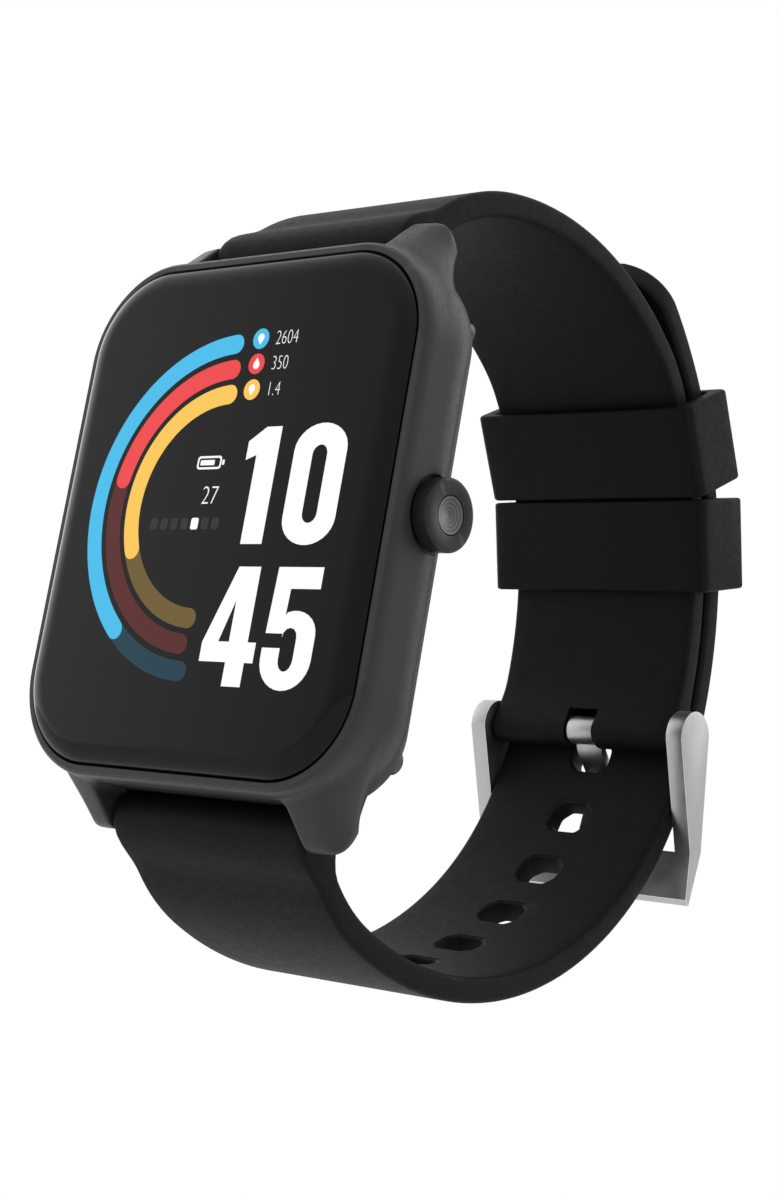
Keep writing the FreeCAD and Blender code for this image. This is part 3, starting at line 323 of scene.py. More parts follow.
def wall_inset(y):
    """How far the case's wall stands inside its widest section at depth y."""
    front = np.clip((1.3 - y) / 1.3, 0.0, 1.0)
    rear = np.clip((y - CASE_DEPTH + 1.4) / 1.4, 0.0, 1.0)
    return 0.45 * (1 - np.sqrt(1 - front ** 2)) + 0.4 * (1 - np.sqrt(1 - rear ** 2))


def distance_case(x, y, z):
    """Signed distance to the case's wall and lugs, which is what the wall is fitted to."""
    case = distance_box(x, z, (CASE_HALF[0] - side_taper(y, z), CASE_HALF[1]), CASE_CORNER)
    wall = np.maximum(case + wall_inset(y), y - CASE_DEPTH)
    slope = (case - (y - SLOPE_START)) * math.sqrt(0.5)
    up = np.abs(z)
    back = np.hypot(np.maximum(y - LUG_TIP[0], 0.0), np.maximum(up - LUG_TIP[1], 0.0)) - LUG_RADIUS
    foot = 0.868 * (y - LUG_TIP[0] - LUG_RADIUS) - 0.496 * (up - LUG_TIP[1])
    back = np.maximum(back, foot)
    inner, outer = LUG_EDGES
    edge = np.where(np.abs(x) > sum(LUG_X) / 2, outer, inner)
    lug = blend_cut(distance_outline(x, z), blend_cut(slope, back, LUG_CREST), edge)
    return blend_union(wall, lug, 0.25)


def fitted(points, distance, rounds=14):
    """Points moved along the distance's slope until they lie on its surface."""
    points = np.array(points, float)
    step = 0.002
    for _ in range(rounds):
        value = distance(*points.T)
        slope = np.empty_like(points)
        for axis in range(points.shape[1]):
            ahead = points.copy()
            ahead[:, axis] += step
            slope[:, axis] = (distance(*ahead.T) - value) / step
        size = np.maximum((slope ** 2).sum(1), 0.2)
        points -= 0.85 * (value / size)[:, None] * slope
    return points


def resampled(points, spacing):
    """Points along a polyline, spacing(point) apart."""
    dense = [points[0]]
    for a, b in zip(points, points[1:]):
        steps = max(1, int(np.linalg.norm(np.subtract(b, a)) / 0.02))
        dense += [np.add(a, np.subtract(b, a) * i / steps) for i in range(1, steps + 1)]
    kept = [dense[0]]
    walked = 0.0
    for a, b in zip(dense, dense[1:]):
        walked += np.linalg.norm(np.subtract(b, a))
        if walked >= spacing(b):
            kept.append(b)
            walked = 0.0
    return np.array(kept)


def case_columns():
    """The full outline with lugs, anticlockwise, close-set where it bends."""
    tip = LUG_TIP[1] + LUG_RADIUS
    centre = (CASE_HALF[0] - CASE_CORNER, CASE_HALF[1] - CASE_CORNER)
    corner = arc_points(centre, CASE_CORNER, 0.0, 62.0, 40)
    start = [(CASE_HALF[0], -0.5 + 0.5 * i) for i in range(int(centre[1] * 2) + 1)]
    quarter = start + [tuple(p) for p in corner]
    quarter += [(LUG_X[1], 22.0), (LUG_X[1], tip), (LUG_X[0], tip), (LUG_X[0], 23.0), (0.0, 23.0)]
    quarter = resampled(quarter, lambda p: 0.05)
    quarter = fitted(quarter, lambda x, z: np.maximum(distance_outline(x, z), np.abs(z) - tip))
    quarter = quarter[(quarter[:, 0] > 0.02) & (quarter[:, 1] > 0.02)]

    def spacing(p):
        if 10.0 < p[0] < 17.6 and p[1] > 20.0:
            return 0.24
        return 0.55 if p[1] > 12.0 and p[0] > 9.0 else 1.2
    quarter = resampled(quarter, spacing)
    mirror = quarter * [-1, 1]
    half = np.concatenate([quarter, mirror[::-1]])
    return np.concatenate([half, (half * [1, -1])[::-1]])


def case_top(x):
    """Height of the plain case's outline over x."""
    beyond = np.clip(np.abs(x) - (CASE_HALF[0] - CASE_CORNER), 0.0, CASE_CORNER)
    return CASE_HALF[1] - CASE_CORNER + np.sqrt(CASE_CORNER ** 2 - beyond ** 2)


def toward_case(points, allowed):
    """Outline points lowered until they stand at most allowed outside the case."""
    x, z = points.T
    beyond = np.clip(np.abs(x) - (CASE_HALF[0] - CASE_CORNER), 0.0, 0.9 * CASE_CORNER)
    limit = case_top(x) + allowed / np.sqrt(1 - (beyond / CASE_CORNER) ** 2)
    over = distance_plain(x, z) > allowed
    return np.stack([x, np.where(over, np.sign(z) * np.minimum(np.abs(z), limit), z)], 1)


# rows round the lug's foot: (depth, reach outside the case, cap height)
LUG_FOOT_ROWS = [(9.42, 9.0, 25.2), (9.46, 9.0, 24.7), (9.2, 9.0, 24.2), (8.95, 9.0, 23.7),
                 (8.7, 9.0, 23.3)]


def case_rows(columns):
    """Rings of the outer wall, front rim to rear edge, lugs included."""
    x, z = columns.T
    on_lug = distance_plain(x, z) > 0.03
    tip_y, tip_z = LUG_TIP
    rows = []
    front = [0.0, 0.06, 0.16, 0.32, 0.55, 0.85, 1.15]
    depths = front + list(np.arange(1.45, tip_y, 0.3)) + list(np.arange(tip_y, 9.2, 0.28))
    for y in depths:
        reach = max(y - tip_y, 0.0)
        cap = tip_z + math.sqrt(max(LUG_RADIUS ** 2 - reach ** 2, 0.0))
        rows.append((y, max(y - SLOPE_START, 0.0), cap))
    rows += LUG_FOOT_ROWS
    rows.append((CASE_DEPTH, 0.0, 23.0))
    rings = []
    for y, allowed, cap in rows:
        ring = toward_case(columns, allowed)
        ring[:, 1] = np.clip(ring[:, 1], -cap, cap)
        depth = np.where(on_lug, y, min(y, CASE_DEPTH))
        rings.append(at_depth(ring, depth))
    return rings


def offset_ring(columns, inset, y):
    """Ring inside the plain case outline."""
    base = toward_case(columns, 0.0)
    x, z = base.T
    gap = 1e-3
    value = distance_plain(x, z)
    ahead = [distance_plain(x + gap, z), distance_plain(x, z + gap)]
    slope = (np.stack(ahead, 1) - value[:, None]) / gap
    return at_depth(base - slope * (inset + value)[:, None], y)


def rear_ring(columns, inset, y):
    """Ring inside the drawn-in outline that the case has at its rear edge."""
    def inside(x, z):
        half = (CASE_HALF[0] - side_taper(CASE_DEPTH, z), CASE_HALF[1])
        return distance_box(x, z, half, CASE_CORNER) + inset
    return at_depth(fitted(toward_case(columns, 0.0), inside), y)


RECESS_INSET = CASE_HALF[1] - RECESS_HALF[1] + 0.04
CAVITY_INSET = 2.15
LIP_ROUND = 0.06


def make_case(material):
    columns = case_columns()
    rings = case_rows(columns)
    points = fitted(np.concatenate(rings), distance_case)
    wall = points.reshape(len(rings), len(columns), 3)
    wall[0] = offset_ring(columns, 0.45, 0.0)
    wall[-1] = rear_ring(columns, 0.4, CASE_DEPTH)
    inner = [(CAVITY_INSET, RECESS_DEPTH), (RECESS_INSET, RECESS_DEPTH), (RECESS_INSET, LIP_ROUND)]
    rings = list(wall) + [rear_ring(columns, 1.1, CASE_DEPTH)]
    rings += [offset_ring(columns, inset, y) for inset, y in inner]
    rings.append(offset_ring(columns, RECESS_INSET - LIP_ROUND, 0.0))
    faces = grid(len(rings), len(columns), wrap_rows=True, wrap_columns=True)
    case = mesh_object("case", np.concatenate(rings), faces)
    well = [(0.02, CROWN_FLOOR), (CROWN_WELL, CROWN_FLOOR), (CROWN_WELL, 19.36), (3.24, 19.42),
            (3.34, 19.48), (3.6, 19.6), (3.9, 20.5), (0.02, 20.5)]
    cutter = mesh_object("well", *lathe(well, CROWN, "x"))
    combine(case, [cutter], "DIFFERENCE")
    case.name = "case_shell"
    return settle(case, material, "watch", ["case_body"], degrees=32)


def rear_outline(y, half_x, half_z, corner):
    return at_depth(rounded_outline(half_x, half_z, corner, corner_steps=20, side_steps=(8, 8)), y)


def rear_circle(y, radius):
    """Circle about the watch's middle with points in the same directions as the outline's."""
    outline = rear_outline(*COVER_STEPS[0])
    turn = np.arctan2(outline[:, 2], outline[:, 0])
    return at_depth(radius * np.stack([np.cos(turn), np.sin(turn)], 1), y)


COVER_BACK = 10.8
HUMP_BACK = 11.6
SCREW = (14.6, 18.2)
CONTACTS = ((-2.6, -14.2), (2.6, -14.2))
COVER_STEPS = [(8.5, 16.65, 22.45, 8.3), (9.2, 16.5, 22.3, 7.2), (9.8, 16.25, 22.1, 6.2),
               (10.2, 15.95, 21.8, 5.8), (10.5, 15.6, 21.4, 5.4), (10.7, 15.2, 21.0, 5.0),
               (COVER_BACK, 14.8, 20.6, 4.6)]
HUMP_STEPS = [(COVER_BACK, 12.3), (10.84, 11.95), (10.98, 11.72), (11.35, 11.6), (11.54, 11.45),
              (HUMP_BACK, 11.2), (HUMP_BACK, 7.2), (11.56, 7.08), (10.2, 7.04), (10.2, 5.9), (8.5, 5.9)]


def make_rear_cover(material):
    """Back shell with its raised sensor disc, screw sinks and holes for the contacts."""
    rings = [rear_outline(*step) for step in COVER_STEPS]
    rings += [rear_circle(*step) for step in HUMP_STEPS]
    count = len(rings[0])
    faces = grid(len(rings), count, wrap_rows=True, wrap_columns=True)
    cover = mesh_object("rear_shell", np.concatenate(rings), faces)
    drills = [("sink", a * SCREW[0], b * SCREW[1], 1.2, COVER_BACK - 1.0)
              for a in (1, -1) for b in (1, -1)]
    drills += [("contact_hole", x, z, 1.05, 8.0) for x, z in CONTACTS]
    cutters = []
    for name, x, z, radius, floor in drills:
        profile = [(0.01, floor), (radius, floor), (radius, 12.0), (0.01, 12.0)]
        cutters.append(mesh_object(name, *lathe(profile, (x, z), "y", 32)))
    combine(cover, cutters, "DIFFERENCE")
    return settle(cover, material, "watch", ["rear_cover", "rear_seal"], degrees=32)


def make_glass(material):
    start = RECESS_INSET + GLASS_GAP
    across, deep = GLASS_EDGE
    profile = [(start + 0.3, GLASS_BACK), (start, GLASS_BACK - 0.2)]
    for i in range(13):
        turn = math.pi / 2 * i / 12
        inset = start + across * (1 - math.cos(turn))
        profile.append((inset, GLASS_FRONT + deep * (1 - math.sin(turn))))
    profile += [(start + across + 0.3, GLASS_FRONT), (start + across + 3.0, GLASS_FRONT)]
    rings = []
    for inset, y in profile:
        half_x, half_z = CASE_HALF[0] - inset, CASE_HALF[1] - inset
        outline = rounded_outline(half_x, half_z, CASE_CORNER - inset, 20, (6, 8))
        rings.append(at_depth(outline, y))
    glass = mesh_object("glass", *loft(rings))
    return settle(glass, material, "watch", ["glass_lens"], degrees=50)


# ---- crown

def make_crown(cap_material, inlay_material):
    face, back, radius = CROWN_FACE, CROWN_BACK, CROWN_RADIUS
    profile = [(0.82, back + 0.05), (2.7, back), (2.9, back + 0.06), (radius, back + 0.22)]
    for i in range(9):
        turn = math.radians(90 * i / 8)
        profile.append((radius - 0.3 * (1 - math.cos(turn)), face - 0.3 + 0.3 * math.sin(turn)))
    profile += [(INLAY_RADIUS + 0.14, face), (INLAY_RADIUS + 0.05, face - 0.05),
                (INLAY_RADIUS + 0.02, face - 0.5), (0.82, face - 0.5)]
    rings, _ = lathe(profile, CROWN, "x")
    faces = grid(len(profile), 96, wrap_rows=True, wrap_columns=True)
    cap = mesh_object("crown_knob", rings, faces)
    settle(cap, cap_material, "crown", ["crown_cap"], degrees=50)
    low, high = face - 0.46, face - 0.06
    dish = [(0.02, low), (INLAY_RADIUS, low), (INLAY_RADIUS, high - 0.06), (INLAY_RADIUS - 0.05, high)]
    dish += [(INLAY_RADIUS - 0.14, high - 0.01), (0.7, high - 0.16), (0.03, high - 0.27)]
    inlay = mesh_object("crown_dish", *lathe(dish, CROWN, "x", 128))
    settle(inlay, inlay_material, "crown", ["crown_inlay"], degrees=40)


# ---- straps

def band_line(middle, start, arcs, spacing=0.9):
    """Middle points and outward directions along tangent arcs, free end first."""
    centre = np.array(WRAP)
    radius, begin = middle, start
    places = []
    for new_radius, end in arcs:
        if new_radius is not None:
            turn = math.radians(begin)
            out = np.array([math.cos(turn), math.sin(turn)])
            centre = centre + out * (radius - new_radius)
            radius = new_radius
        steps = max(2, round(radius * math.radians(abs(end - begin)) / spacing))
        first = 0 if not places else 1
        for i in range(first, steps + 1):
            turn = math.radians(begin + (end - begin) * i / steps)
            out = np.array([math.cos(turn), math.sin(turn)])
            places.append((centre + out * radius, out))
        begin = end
    return places


EYE_LEAD = 4.5


def eye_stations(line, axis, radius, half):
    """Stations along a band's line, which thickens at its end into a round eye about a bar."""
    axis = np.array(axis)
    stations = []
    for point, out in line:
        share = max(0.0, 1 - np.linalg.norm(point - axis) / EYE_LEAD)
        ease = share ** 2 * (3 - 2 * share)
        stations.append((point, out, half + (radius - half) * ease))
    travel = line[-1][0] - line[-2][0]
    across = line[-1][1]
    along = travel - across * (travel @ across)
    along = along / np.linalg.norm(along)
    for i in range(1, 9):
        turn = math.radians(86 * i / 8)
        end = line[-1][0] + along * radius * math.sin(turn)
        stations.append((end, across, radius * math.cos(turn)))
    return stations


def band_sections(stations):
    """Rounded-edge cross-sections at stations of (point, out, half thickness, half width)."""
    rings = []
    for point, out, half, width in stations:
        edge = min(STRAP_EDGE, half * 0.96)
        section = rounded_outline(width, half, edge, corner_steps=5, side_steps=(2, 14))
        ring = [(x, point[0] + out[0] * n, point[1] + out[1] * n) for x, n in section]
        rings.append(np.array(ring))
    return rings


def block(name, x, y, z):
    """A cutter box."""
    corners = [(a, b, c) for a in x for b in y for c in z]
    faces = [(0, 1, 3, 2), (4, 6, 7, 5), (0, 4, 5, 1), (2, 3, 7, 6), (0, 2, 6, 4), (1, 5, 7, 3)]
    return mesh_object(name, corners, faces)


def lever_slot(end):
    slot = sorted((end * (BAR[1] - 0.55), end * (BAR[1] + 0.55)))
    return block("lever_slot", (5.2, 8.6), (BAR[0] + 0.2, BAR[0] + 6.0), slot)


def make_buckle_strap(material):
    half = STRAP_THICK / 2
    line = band_line(BUCKLE_STRAP_MIDDLE, BUCKLE_STRAP_START, BUCKLE_STRAP_ARCS)
    middle = len(line) // 2
    lug_end = eye_stations(line[middle:], BAR, EYE_RADIUS, half)
    buckle_end = eye_stations(line[middle - 1::-1], BUCKLE_BAR, BUCKLE_EYE_RADIUS, half)
    stations = buckle_end[::-1] + lug_end
    strap = mesh_object("buckle_strap", *loft(band_sections([(*s, STRAP_HALF) for s in stations])))
    y, z = BUCKLE_BAR
    notch = block("notch", (-NOTCH_HALF, NOTCH_HALF), (y - 3.0, y + 3.2), (z - 3.0, z + 2.1))
    combine(strap, [notch, lever_slot(1)], "DIFFERENCE")
    return settle(strap, material, "watch", ["strap_upper"], degrees=38)


def rounded_octagon(half, chamfer, grow):
    """Octagon with softened corners, half = (across, along), grown by grow."""
    a, b = half[0] + grow, half[1] + grow
    corners = [(a, b - chamfer), (a - chamfer, b), (chamfer - a, b), (-a, b - chamfer),
               (-a, chamfer - b), (chamfer - a, -b), (a - chamfer, -b), (a, chamfer - b)]
    points = []
    soft = 0.3
    for i, corner in enumerate(corners):
        corner = np.array(corner)
        before = np.array(corners[i - 1]) - corner
        after = np.array(corners[(i + 1) % 8]) - corner
        first = corner + before / np.linalg.norm(before) * soft
        last = corner + after / np.linalg.norm(after) * soft
        for share in (0.0, 0.33, 0.67, 1.0):
            points.append((1 - share) ** 2 * first + 2 * share * (1 - share) * corner + share ** 2 * last)
    return np.array(points)


def hole_plug(point, out):
    """Cutter for a strap hole, flared where it meets each face."""
    along = np.array([-out[1], out[0]])
    half = STRAP_THICK / 2
    levels = [(-half - 1.0, HOLE_FLARE), (-half, HOLE_FLARE)]
    for i in range(1, 5):
        turn = math.radians(90 * i / 4)
        levels.append((-half + HOLE_FLARE * (1 - math.cos(turn)), HOLE_FLARE * (1 - math.sin(turn))))
    levels += [(-depth, grow) for depth, grow in reversed(levels)]
    rings = []
    for depth, grow in levels:
        outline = rounded_octagon(HOLE_HALF, HOLE_CHAMFER, grow)
        rings.append([(x, point[0] + out[0] * depth + along[0] * v,
                       point[1] + out[1] * depth + along[1] * v) for x, v in outline])
    return mesh_object("hole_plug", *loft(rings))


def walk_line(line, distance):
    """Point and outward direction at a distance along a band's middle."""
    for (a, out_a), (b, out_b) in zip(line, line[1:]):
        step = np.linalg.norm(b - a)
        if distance <= step:
            share = distance / step
            out = out_a * (1 - share) + out_b * share
            return a + (b - a) * share, out / np.linalg.norm(out)
        distance -= step
    raise ValueError("past the end of the band")


def make_long_strap(material):
    half = STRAP_THICK / 2
    line = band_line(LONG_STRAP_MIDDLE, LONG_STRAP_START, LONG_STRAP_ARCS)
    fine = band_line(LONG_STRAP_MIDDLE, LONG_STRAP_START, LONG_STRAP_ARCS, spacing=0.25)
    stations = []
    walked = 0.0
    for point, out in fine:
        if walked > TAIL_CORNER + 0.01:
            break
        across = math.sqrt(max(TAIL_CORNER ** 2 - (TAIL_CORNER - walked) ** 2, 0.0))
        stations.append((point, out, half, STRAP_HALF - TAIL_CORNER + across))
        walked += 0.25
    edge = stations[0]
    soft = [(edge[0], edge[1], half - STRAP_EDGE, edge[3] - 0.3)]
    reached = walked
    walked = 0.0
    for (before, _), (point, out) in zip(line[:len(line) // 2], line[1:]):
        walked += np.linalg.norm(point - before)
        if walked > reached:
            stations.append((point, out, half, STRAP_HALF))
    stations = soft + stations
    lug_end = eye_stations(line[len(line) // 2 + 1:], (BAR[0], -BAR[1]), EYE_RADIUS, half)
    stations += [(*s, STRAP_HALF) for s in lug_end]
    strap = mesh_object("long_strap", *loft(band_sections(stations)))
    used = LONG_STRAP_MIDDLE * math.radians(LONG_STRAP_START - USED_HOLE_ANGLE)
    plugs = [hole_plug(*walk_line(fine, used + i * HOLE_PITCH))
             for i in range(-HOLES_BEFORE, HOLES_AFTER + 1)]
    combine(strap, plugs + [lever_slot(-1)], "DIFFERENCE")
    return settle(strap, material, "watch", ["strap_lower"], degrees=38)


def loop_outline(box, corner):
    """Rounded rectangle in (x, radial) between two radii; box = (half width, near, far)."""
    half, near, far = box
    outline = rounded_outline(half, (far - near) / 2, corner, corner_steps=6, side_steps=(6, 14))
    return outline + [0.0, (near + far) / 2]


def make_keeper(node, body, angle, material):
    outer = loop_outline(KEEPER_OUTER, 0.9)
    inner = loop_outline(KEEPER_INNER, 0.5)
    edge = KEEPER_EDGE
    profile = []
    for centre_depth, centre_along, start in ((0.0, 1, 0), (1.0, 1, 90), (1.0, -1, 180), (0.0, -1, 270)):
        for i in range(6):
            turn = math.radians(start + 90 * i / 5)
            profile.append((centre_depth, centre_along, -math.cos(turn), math.sin(turn)))
    turn = math.radians(angle)
    rings = []
    for out_point, in_point in zip(outer, inner):
        inward = in_point - out_point
        wall = np.linalg.norm(inward)
        inward = inward / wall
        ring = []
        for far_side, end, depth, along in profile:
            inset = edge + depth * edge if far_side == 0.0 else wall - edge + depth * edge
            across, radial = out_point + inward * inset
            along = end * (KEEPER_HALF - edge) + along * edge
            ring.append((across, WRAP[0] + radial * math.cos(turn) - along * math.sin(turn),
                         radial * math.sin(turn) + along * math.cos(turn)))
        rings.append(ring)
    keeper = mesh_object(node + "_loop", *loft(rings, closed=True, caps=False))
    return settle(keeper, material, body, [node], degrees=45)


# ---- buckle

def extrude_x(name, outline, low, high):
    """A solid with a (y, z) outline, from x = low to x = high."""
    rings = [[(x, y, z) for y, z in outline] for x in (low, high)]
    return mesh_object(name, *loft(rings))


def steel_piece(obj, bevel, looks, body, node):
    """Round the sharp edges off in a look of their own and put the piece on its body."""
    for look in looks:
        obj.data.materials.append(look)
    modifier = obj.modifiers.new("bevel", "BEVEL")
    modifier.width = bevel * MM
    modifier.segments = BEVEL_STEPS
    modifier.limit_method = "ANGLE"
    modifier.angle_limit = math.radians(BEVEL_ANGLE)
    modifier.material = 1
    apply_modifiers(obj)
    return settle(obj, looks[0], body, [node], degrees=28)


def make_buckle(looks):
    head = arc_points(BUCKLE_BAR, BUCKLE_HEAD, 195.0, 12.0, 22)
    outline = [tuple(p) for p in head] + BUCKLE_POINTS
    low, high = BUCKLE_X
    buckle = extrude_x("buckle_loop", outline, low, high)
    other = extrude_x("plate", outline, -high, -low)
    bar = extrude_x("crossbar", CROSSBAR, -low - 0.5, low + 0.5)
    combine(buckle, [bar, other], "UNION")
    half = TONGUE_HALF + 0.15
    combine(buckle, [block("rest", (-half, half), *TONGUE_REST)], "DIFFERENCE")
    return steel_piece(buckle, BUCKLE_BEVEL, looks, "buckle", "buckle_frame")


def smooth_path(points, steps):
    """Catmull-Rom curve through the points."""
    padded = [2 * np.array(points[0]) - points[1], *map(np.array, points),
              2 * np.array(points[-1]) - points[-2]]
    curve = []
    for a, b, c, d in zip(padded, padded[1:], padded[2:], padded[3:]):
        for i in range(steps):
            s = i / steps
            curve.append(0.5 * (2 * b + (c - a) * s + (2 * a - 5 * b + 4 * c - d) * s ** 2
                                + (3 * b - a - 3 * c + d) * s ** 3))
    curve.append(np.array(points[-1], float))
    return np.array(curve)


def make_tongue(looks):
    path = smooth_path(TONGUE_PATH, 5)
    travel = np.gradient(path, axis=0)
    travel /= np.linalg.norm(travel, axis=1)[:, None]
    side = np.stack([-travel[:, 1], travel[:, 0]], 1) * (TONGUE_THICK / 2)
    outline = [tuple(p) for p in path + side] + [tuple(p) for p in (path - side)[::-1]]
    tongue = extrude_x("tongue_blade", outline, -TONGUE_HALF, TONGUE_HALF)
    barrel = arc_points(BUCKLE_BAR, BARREL_RADIUS, 0.0, 351.0, 39)
    roll = extrude_x("barrel", [tuple(p) for p in barrel], -TONGUE_HALF, TONGUE_HALF)
    combine(tongue, [roll], "UNION")
    return steel_piece(tongue, TONGUE_BEVEL, looks, "tongue", "buckle_tongue")


# ---- display graphics

MARK_BACK = GLASS_FRONT - 0.004
MARK_FRONT = GLASS_FRONT - 0.016
RING_CENTRE = (0.55, 0.32)
RING_HALF = 0.85
RING_START = 93.7
RINGS = {"blue": (14.09, 230.0, 267.8), "red": (11.85, 167.8, 265.2),
         "yellow": (9.64, 203.2, 266.7)}
FLAT_TO_UPRIGHT = Matrix(((1, 0, 0, 0), (0, 0, 1, 0), (0, 1, 0, 0), (0, 0, 0, 1)))


def flat_mark(name, outlines, material):
    """Thin printed shape from closed (x, z) outlines; an outline inside another is a hole."""
    curve = bpy.data.curves.new(name, "CURVE")
    curve.dimensions = "2D"
    curve.fill_mode = "BOTH"
    curve.extrude = (MARK_BACK - MARK_FRONT) / 2 * MM
    for outline in outlines:
        spline = curve.splines.new("POLY")
        spline.points.add(len(outline) - 1)
        for point, (x, z) in zip(spline.points, outline):
            point.co = (x * MM, z * MM, 0.0, 1.0)
        spline.use_cyclic_u = True
    return on_glass(name, curve, material)


def on_glass(name, curve, material, before=Matrix()):
    """Turn a flat curve or number into a mesh that stands on the glass."""
    shape = new_object(name, curve)
    mesh = evaluated_mesh(shape)
    bpy.data.objects.remove(shape)
    depth = RIM_Y + (MARK_BACK + MARK_FRONT) / 2 * MM
    mesh.transform(Matrix.Translation((0, depth, 0)) @ FLAT_TO_UPRIGHT @ before)
    mesh.flip_normals()
    mesh.materials.clear()
    return settle(new_object(name, mesh), material, "watch", degrees=30)


def ring_point(radius, degrees):
    turn = math.radians(degrees)
    return np.array(RING_CENTRE) + radius * np.array([math.cos(turn), math.sin(turn)])


def ring_band(radius, start, end, steps, hollow=False):
    """Arc band with a round end; its start is round too, or hollowed for another's end."""
    outer = arc_points(RING_CENTRE, radius + RING_HALF, start, end, steps)
    cap = arc_points(ring_point(radius, end), RING_HALF, end, end + 180, 16)[1:-1]
    inner = arc_points(RING_CENTRE, radius - RING_HALF, end, start, steps)
    last = start if hollow else start + 360
    base = arc_points(ring_point(radius, start), RING_HALF, start + 180, last, 16)[1:-1]
    return np.concatenate([outer, cap, inner, base])


def make_rings(bright, dim):
    for name, (radius, middle, end) in RINGS.items():
        flat_mark("ring_%s" % name, [ring_band(radius, RING_START, middle, 60)], bright[name])
        rest = ring_band(radius, middle, end, 30, hollow=True)
        flat_mark("ring_%s_rest" % name, [rest], dim[name])


def placed(outline, left, base, width, height):
    """Unit-cell outline to its place on the dial."""
    return [(left + u * width, base + v * height) for u, v in outline]


def oval(centre, radii, start, end, count):
    """Points along an elliptical arc between two angles in half turns."""
    return [(centre[0] + radii[0] * math.cos(t), centre[1] + radii[1] * math.sin(t))
            for t in np.linspace(start * math.pi, end * math.pi, count)]


def bowl(low, high, left, right, roundness):
    """Upright rounded slot, as a closed outline in the unit cell."""
    radius = (right - left) / 2
    middle = (left + right) / 2
    tall = radius * roundness
    top = oval((middle, high - tall), (radius, tall), 0, 1, 16)
    return top + oval((middle, low + tall), (radius, tall), 1, 2, 16)


def digit_outlines(digit):
    """Heavy condensed digits in a unit cell."""
    if digit == "1":
        return [[(0.30, 0.0), (0.72, 0.0), (0.72, 1.0), (0.42, 1.0), (0.10, 0.88), (0.10, 0.72),
                 (0.30, 0.76)]]
    if digit == "0":
        return [bowl(-0.015, 1.015, 0.0, 1.0, 0.46), bowl(0.17, 0.83, 0.36, 0.64, 0.6)]
    if digit == "4":
        return [[(0.48, 0.0), (0.84, 0.0), (0.84, 0.2), (1.0, 0.2), (1.0, 0.37), (0.84, 0.37),
                 (0.84, 1.0), (0.42, 1.0), (-0.04, 0.36), (-0.04, 0.2), (0.48, 0.2)],
                [(0.27, 0.37), (0.48, 0.37), (0.48, 0.72)]]
    bottom = oval((0.5, 0.24), (0.5, 0.255), 0, -1, 15)
    inner = oval((0.5, 0.24), (-0.145, -0.1), 0, 1, 9)
    crook = oval((0.5, 0.42), (0.145, 0.08), 0, 1, 7)
    shoulder = oval((0.56, 0.44), (0.44, 0.2), 0.62, 0, 9)
    return [[*bottom, (0.0, 0.33), (0.355, 0.33), *inner, *crook, (0.36, 0.45), (0.02, 0.45),
             (0.06, 1.0), (0.95, 1.0), (0.95, 0.82), (0.37, 0.82), (0.355, 0.6), *shoulder]]


DIGITS = {"hour_ten": ("1", 2.64, -3.0, 5.65, 9.93), "hour_one": ("0", 8.5, -2.95, 5.66, 9.85),
          "minute_ten": ("4", 2.33, -14.8, 5.77, 9.9), "minute_one": ("5", 8.85, -14.75, 5.4, 9.85)}


def make_time(material):
    for name, (digit, left, base, width, height) in DIGITS.items():
        outlines = [placed(o, left, base, width, height) for o in digit_outlines(digit)]
        flat_mark(name, outlines, material)


NUMBER_THIN = 0.045


def number(name, text, x, z, height, material, align="LEFT", condense=0.72):
    """A small number in Blender's own plain font."""
    curve = bpy.data.curves.new(name, "FONT")
    curve.body = text
    curve.size = height / 0.7 * MM
    curve.align_x = align
    curve.offset = -NUMBER_THIN * MM
    curve.extrude = (MARK_BACK - MARK_FRONT) / 2 * MM
    shift = Matrix.Translation((x * MM, z * MM, 0))
    return on_glass(name, curve, material, shift @ Matrix.Diagonal((condense, 1, 1, 1)))


def circle(centre, radius, steps=28):
    return arc_points(centre, radius, 0.0, 360.0 - 360.0 / steps, steps - 1)


def drop(centre, radius, up):
    """Pointed drop about a centre, its point up or down."""
    turns = np.linspace(math.radians(-30), math.radians(210), 15)
    points = [(centre[0] + radius * math.cos(t), centre[1] - up * (radius * math.sin(t) + 0.1))
              for t in turns]
    return points + [(centre[0], centre[1] + up * radius * 1.5)]


def small_rectangle(left, right, low, high, corner=0.15):
    outline = rounded_outline((right - left) / 2, (high - low) / 2, corner, corner_steps=4,
                              side_steps=(1, 1))
    return outline + [(left + right) / 2, (low + high) / 2]


READINGS = {"steps": ("blue", 14.7, "2604"), "effort": ("red", 12.5, "350"),
            "route": ("yellow", 10.25, "1.4")}
DISC_X = 2.4
DISC_RADIUS = 0.9
WEEK_LEFT = -6.6
WEEK_PITCH = 1.2
WEEK_LIT = 4


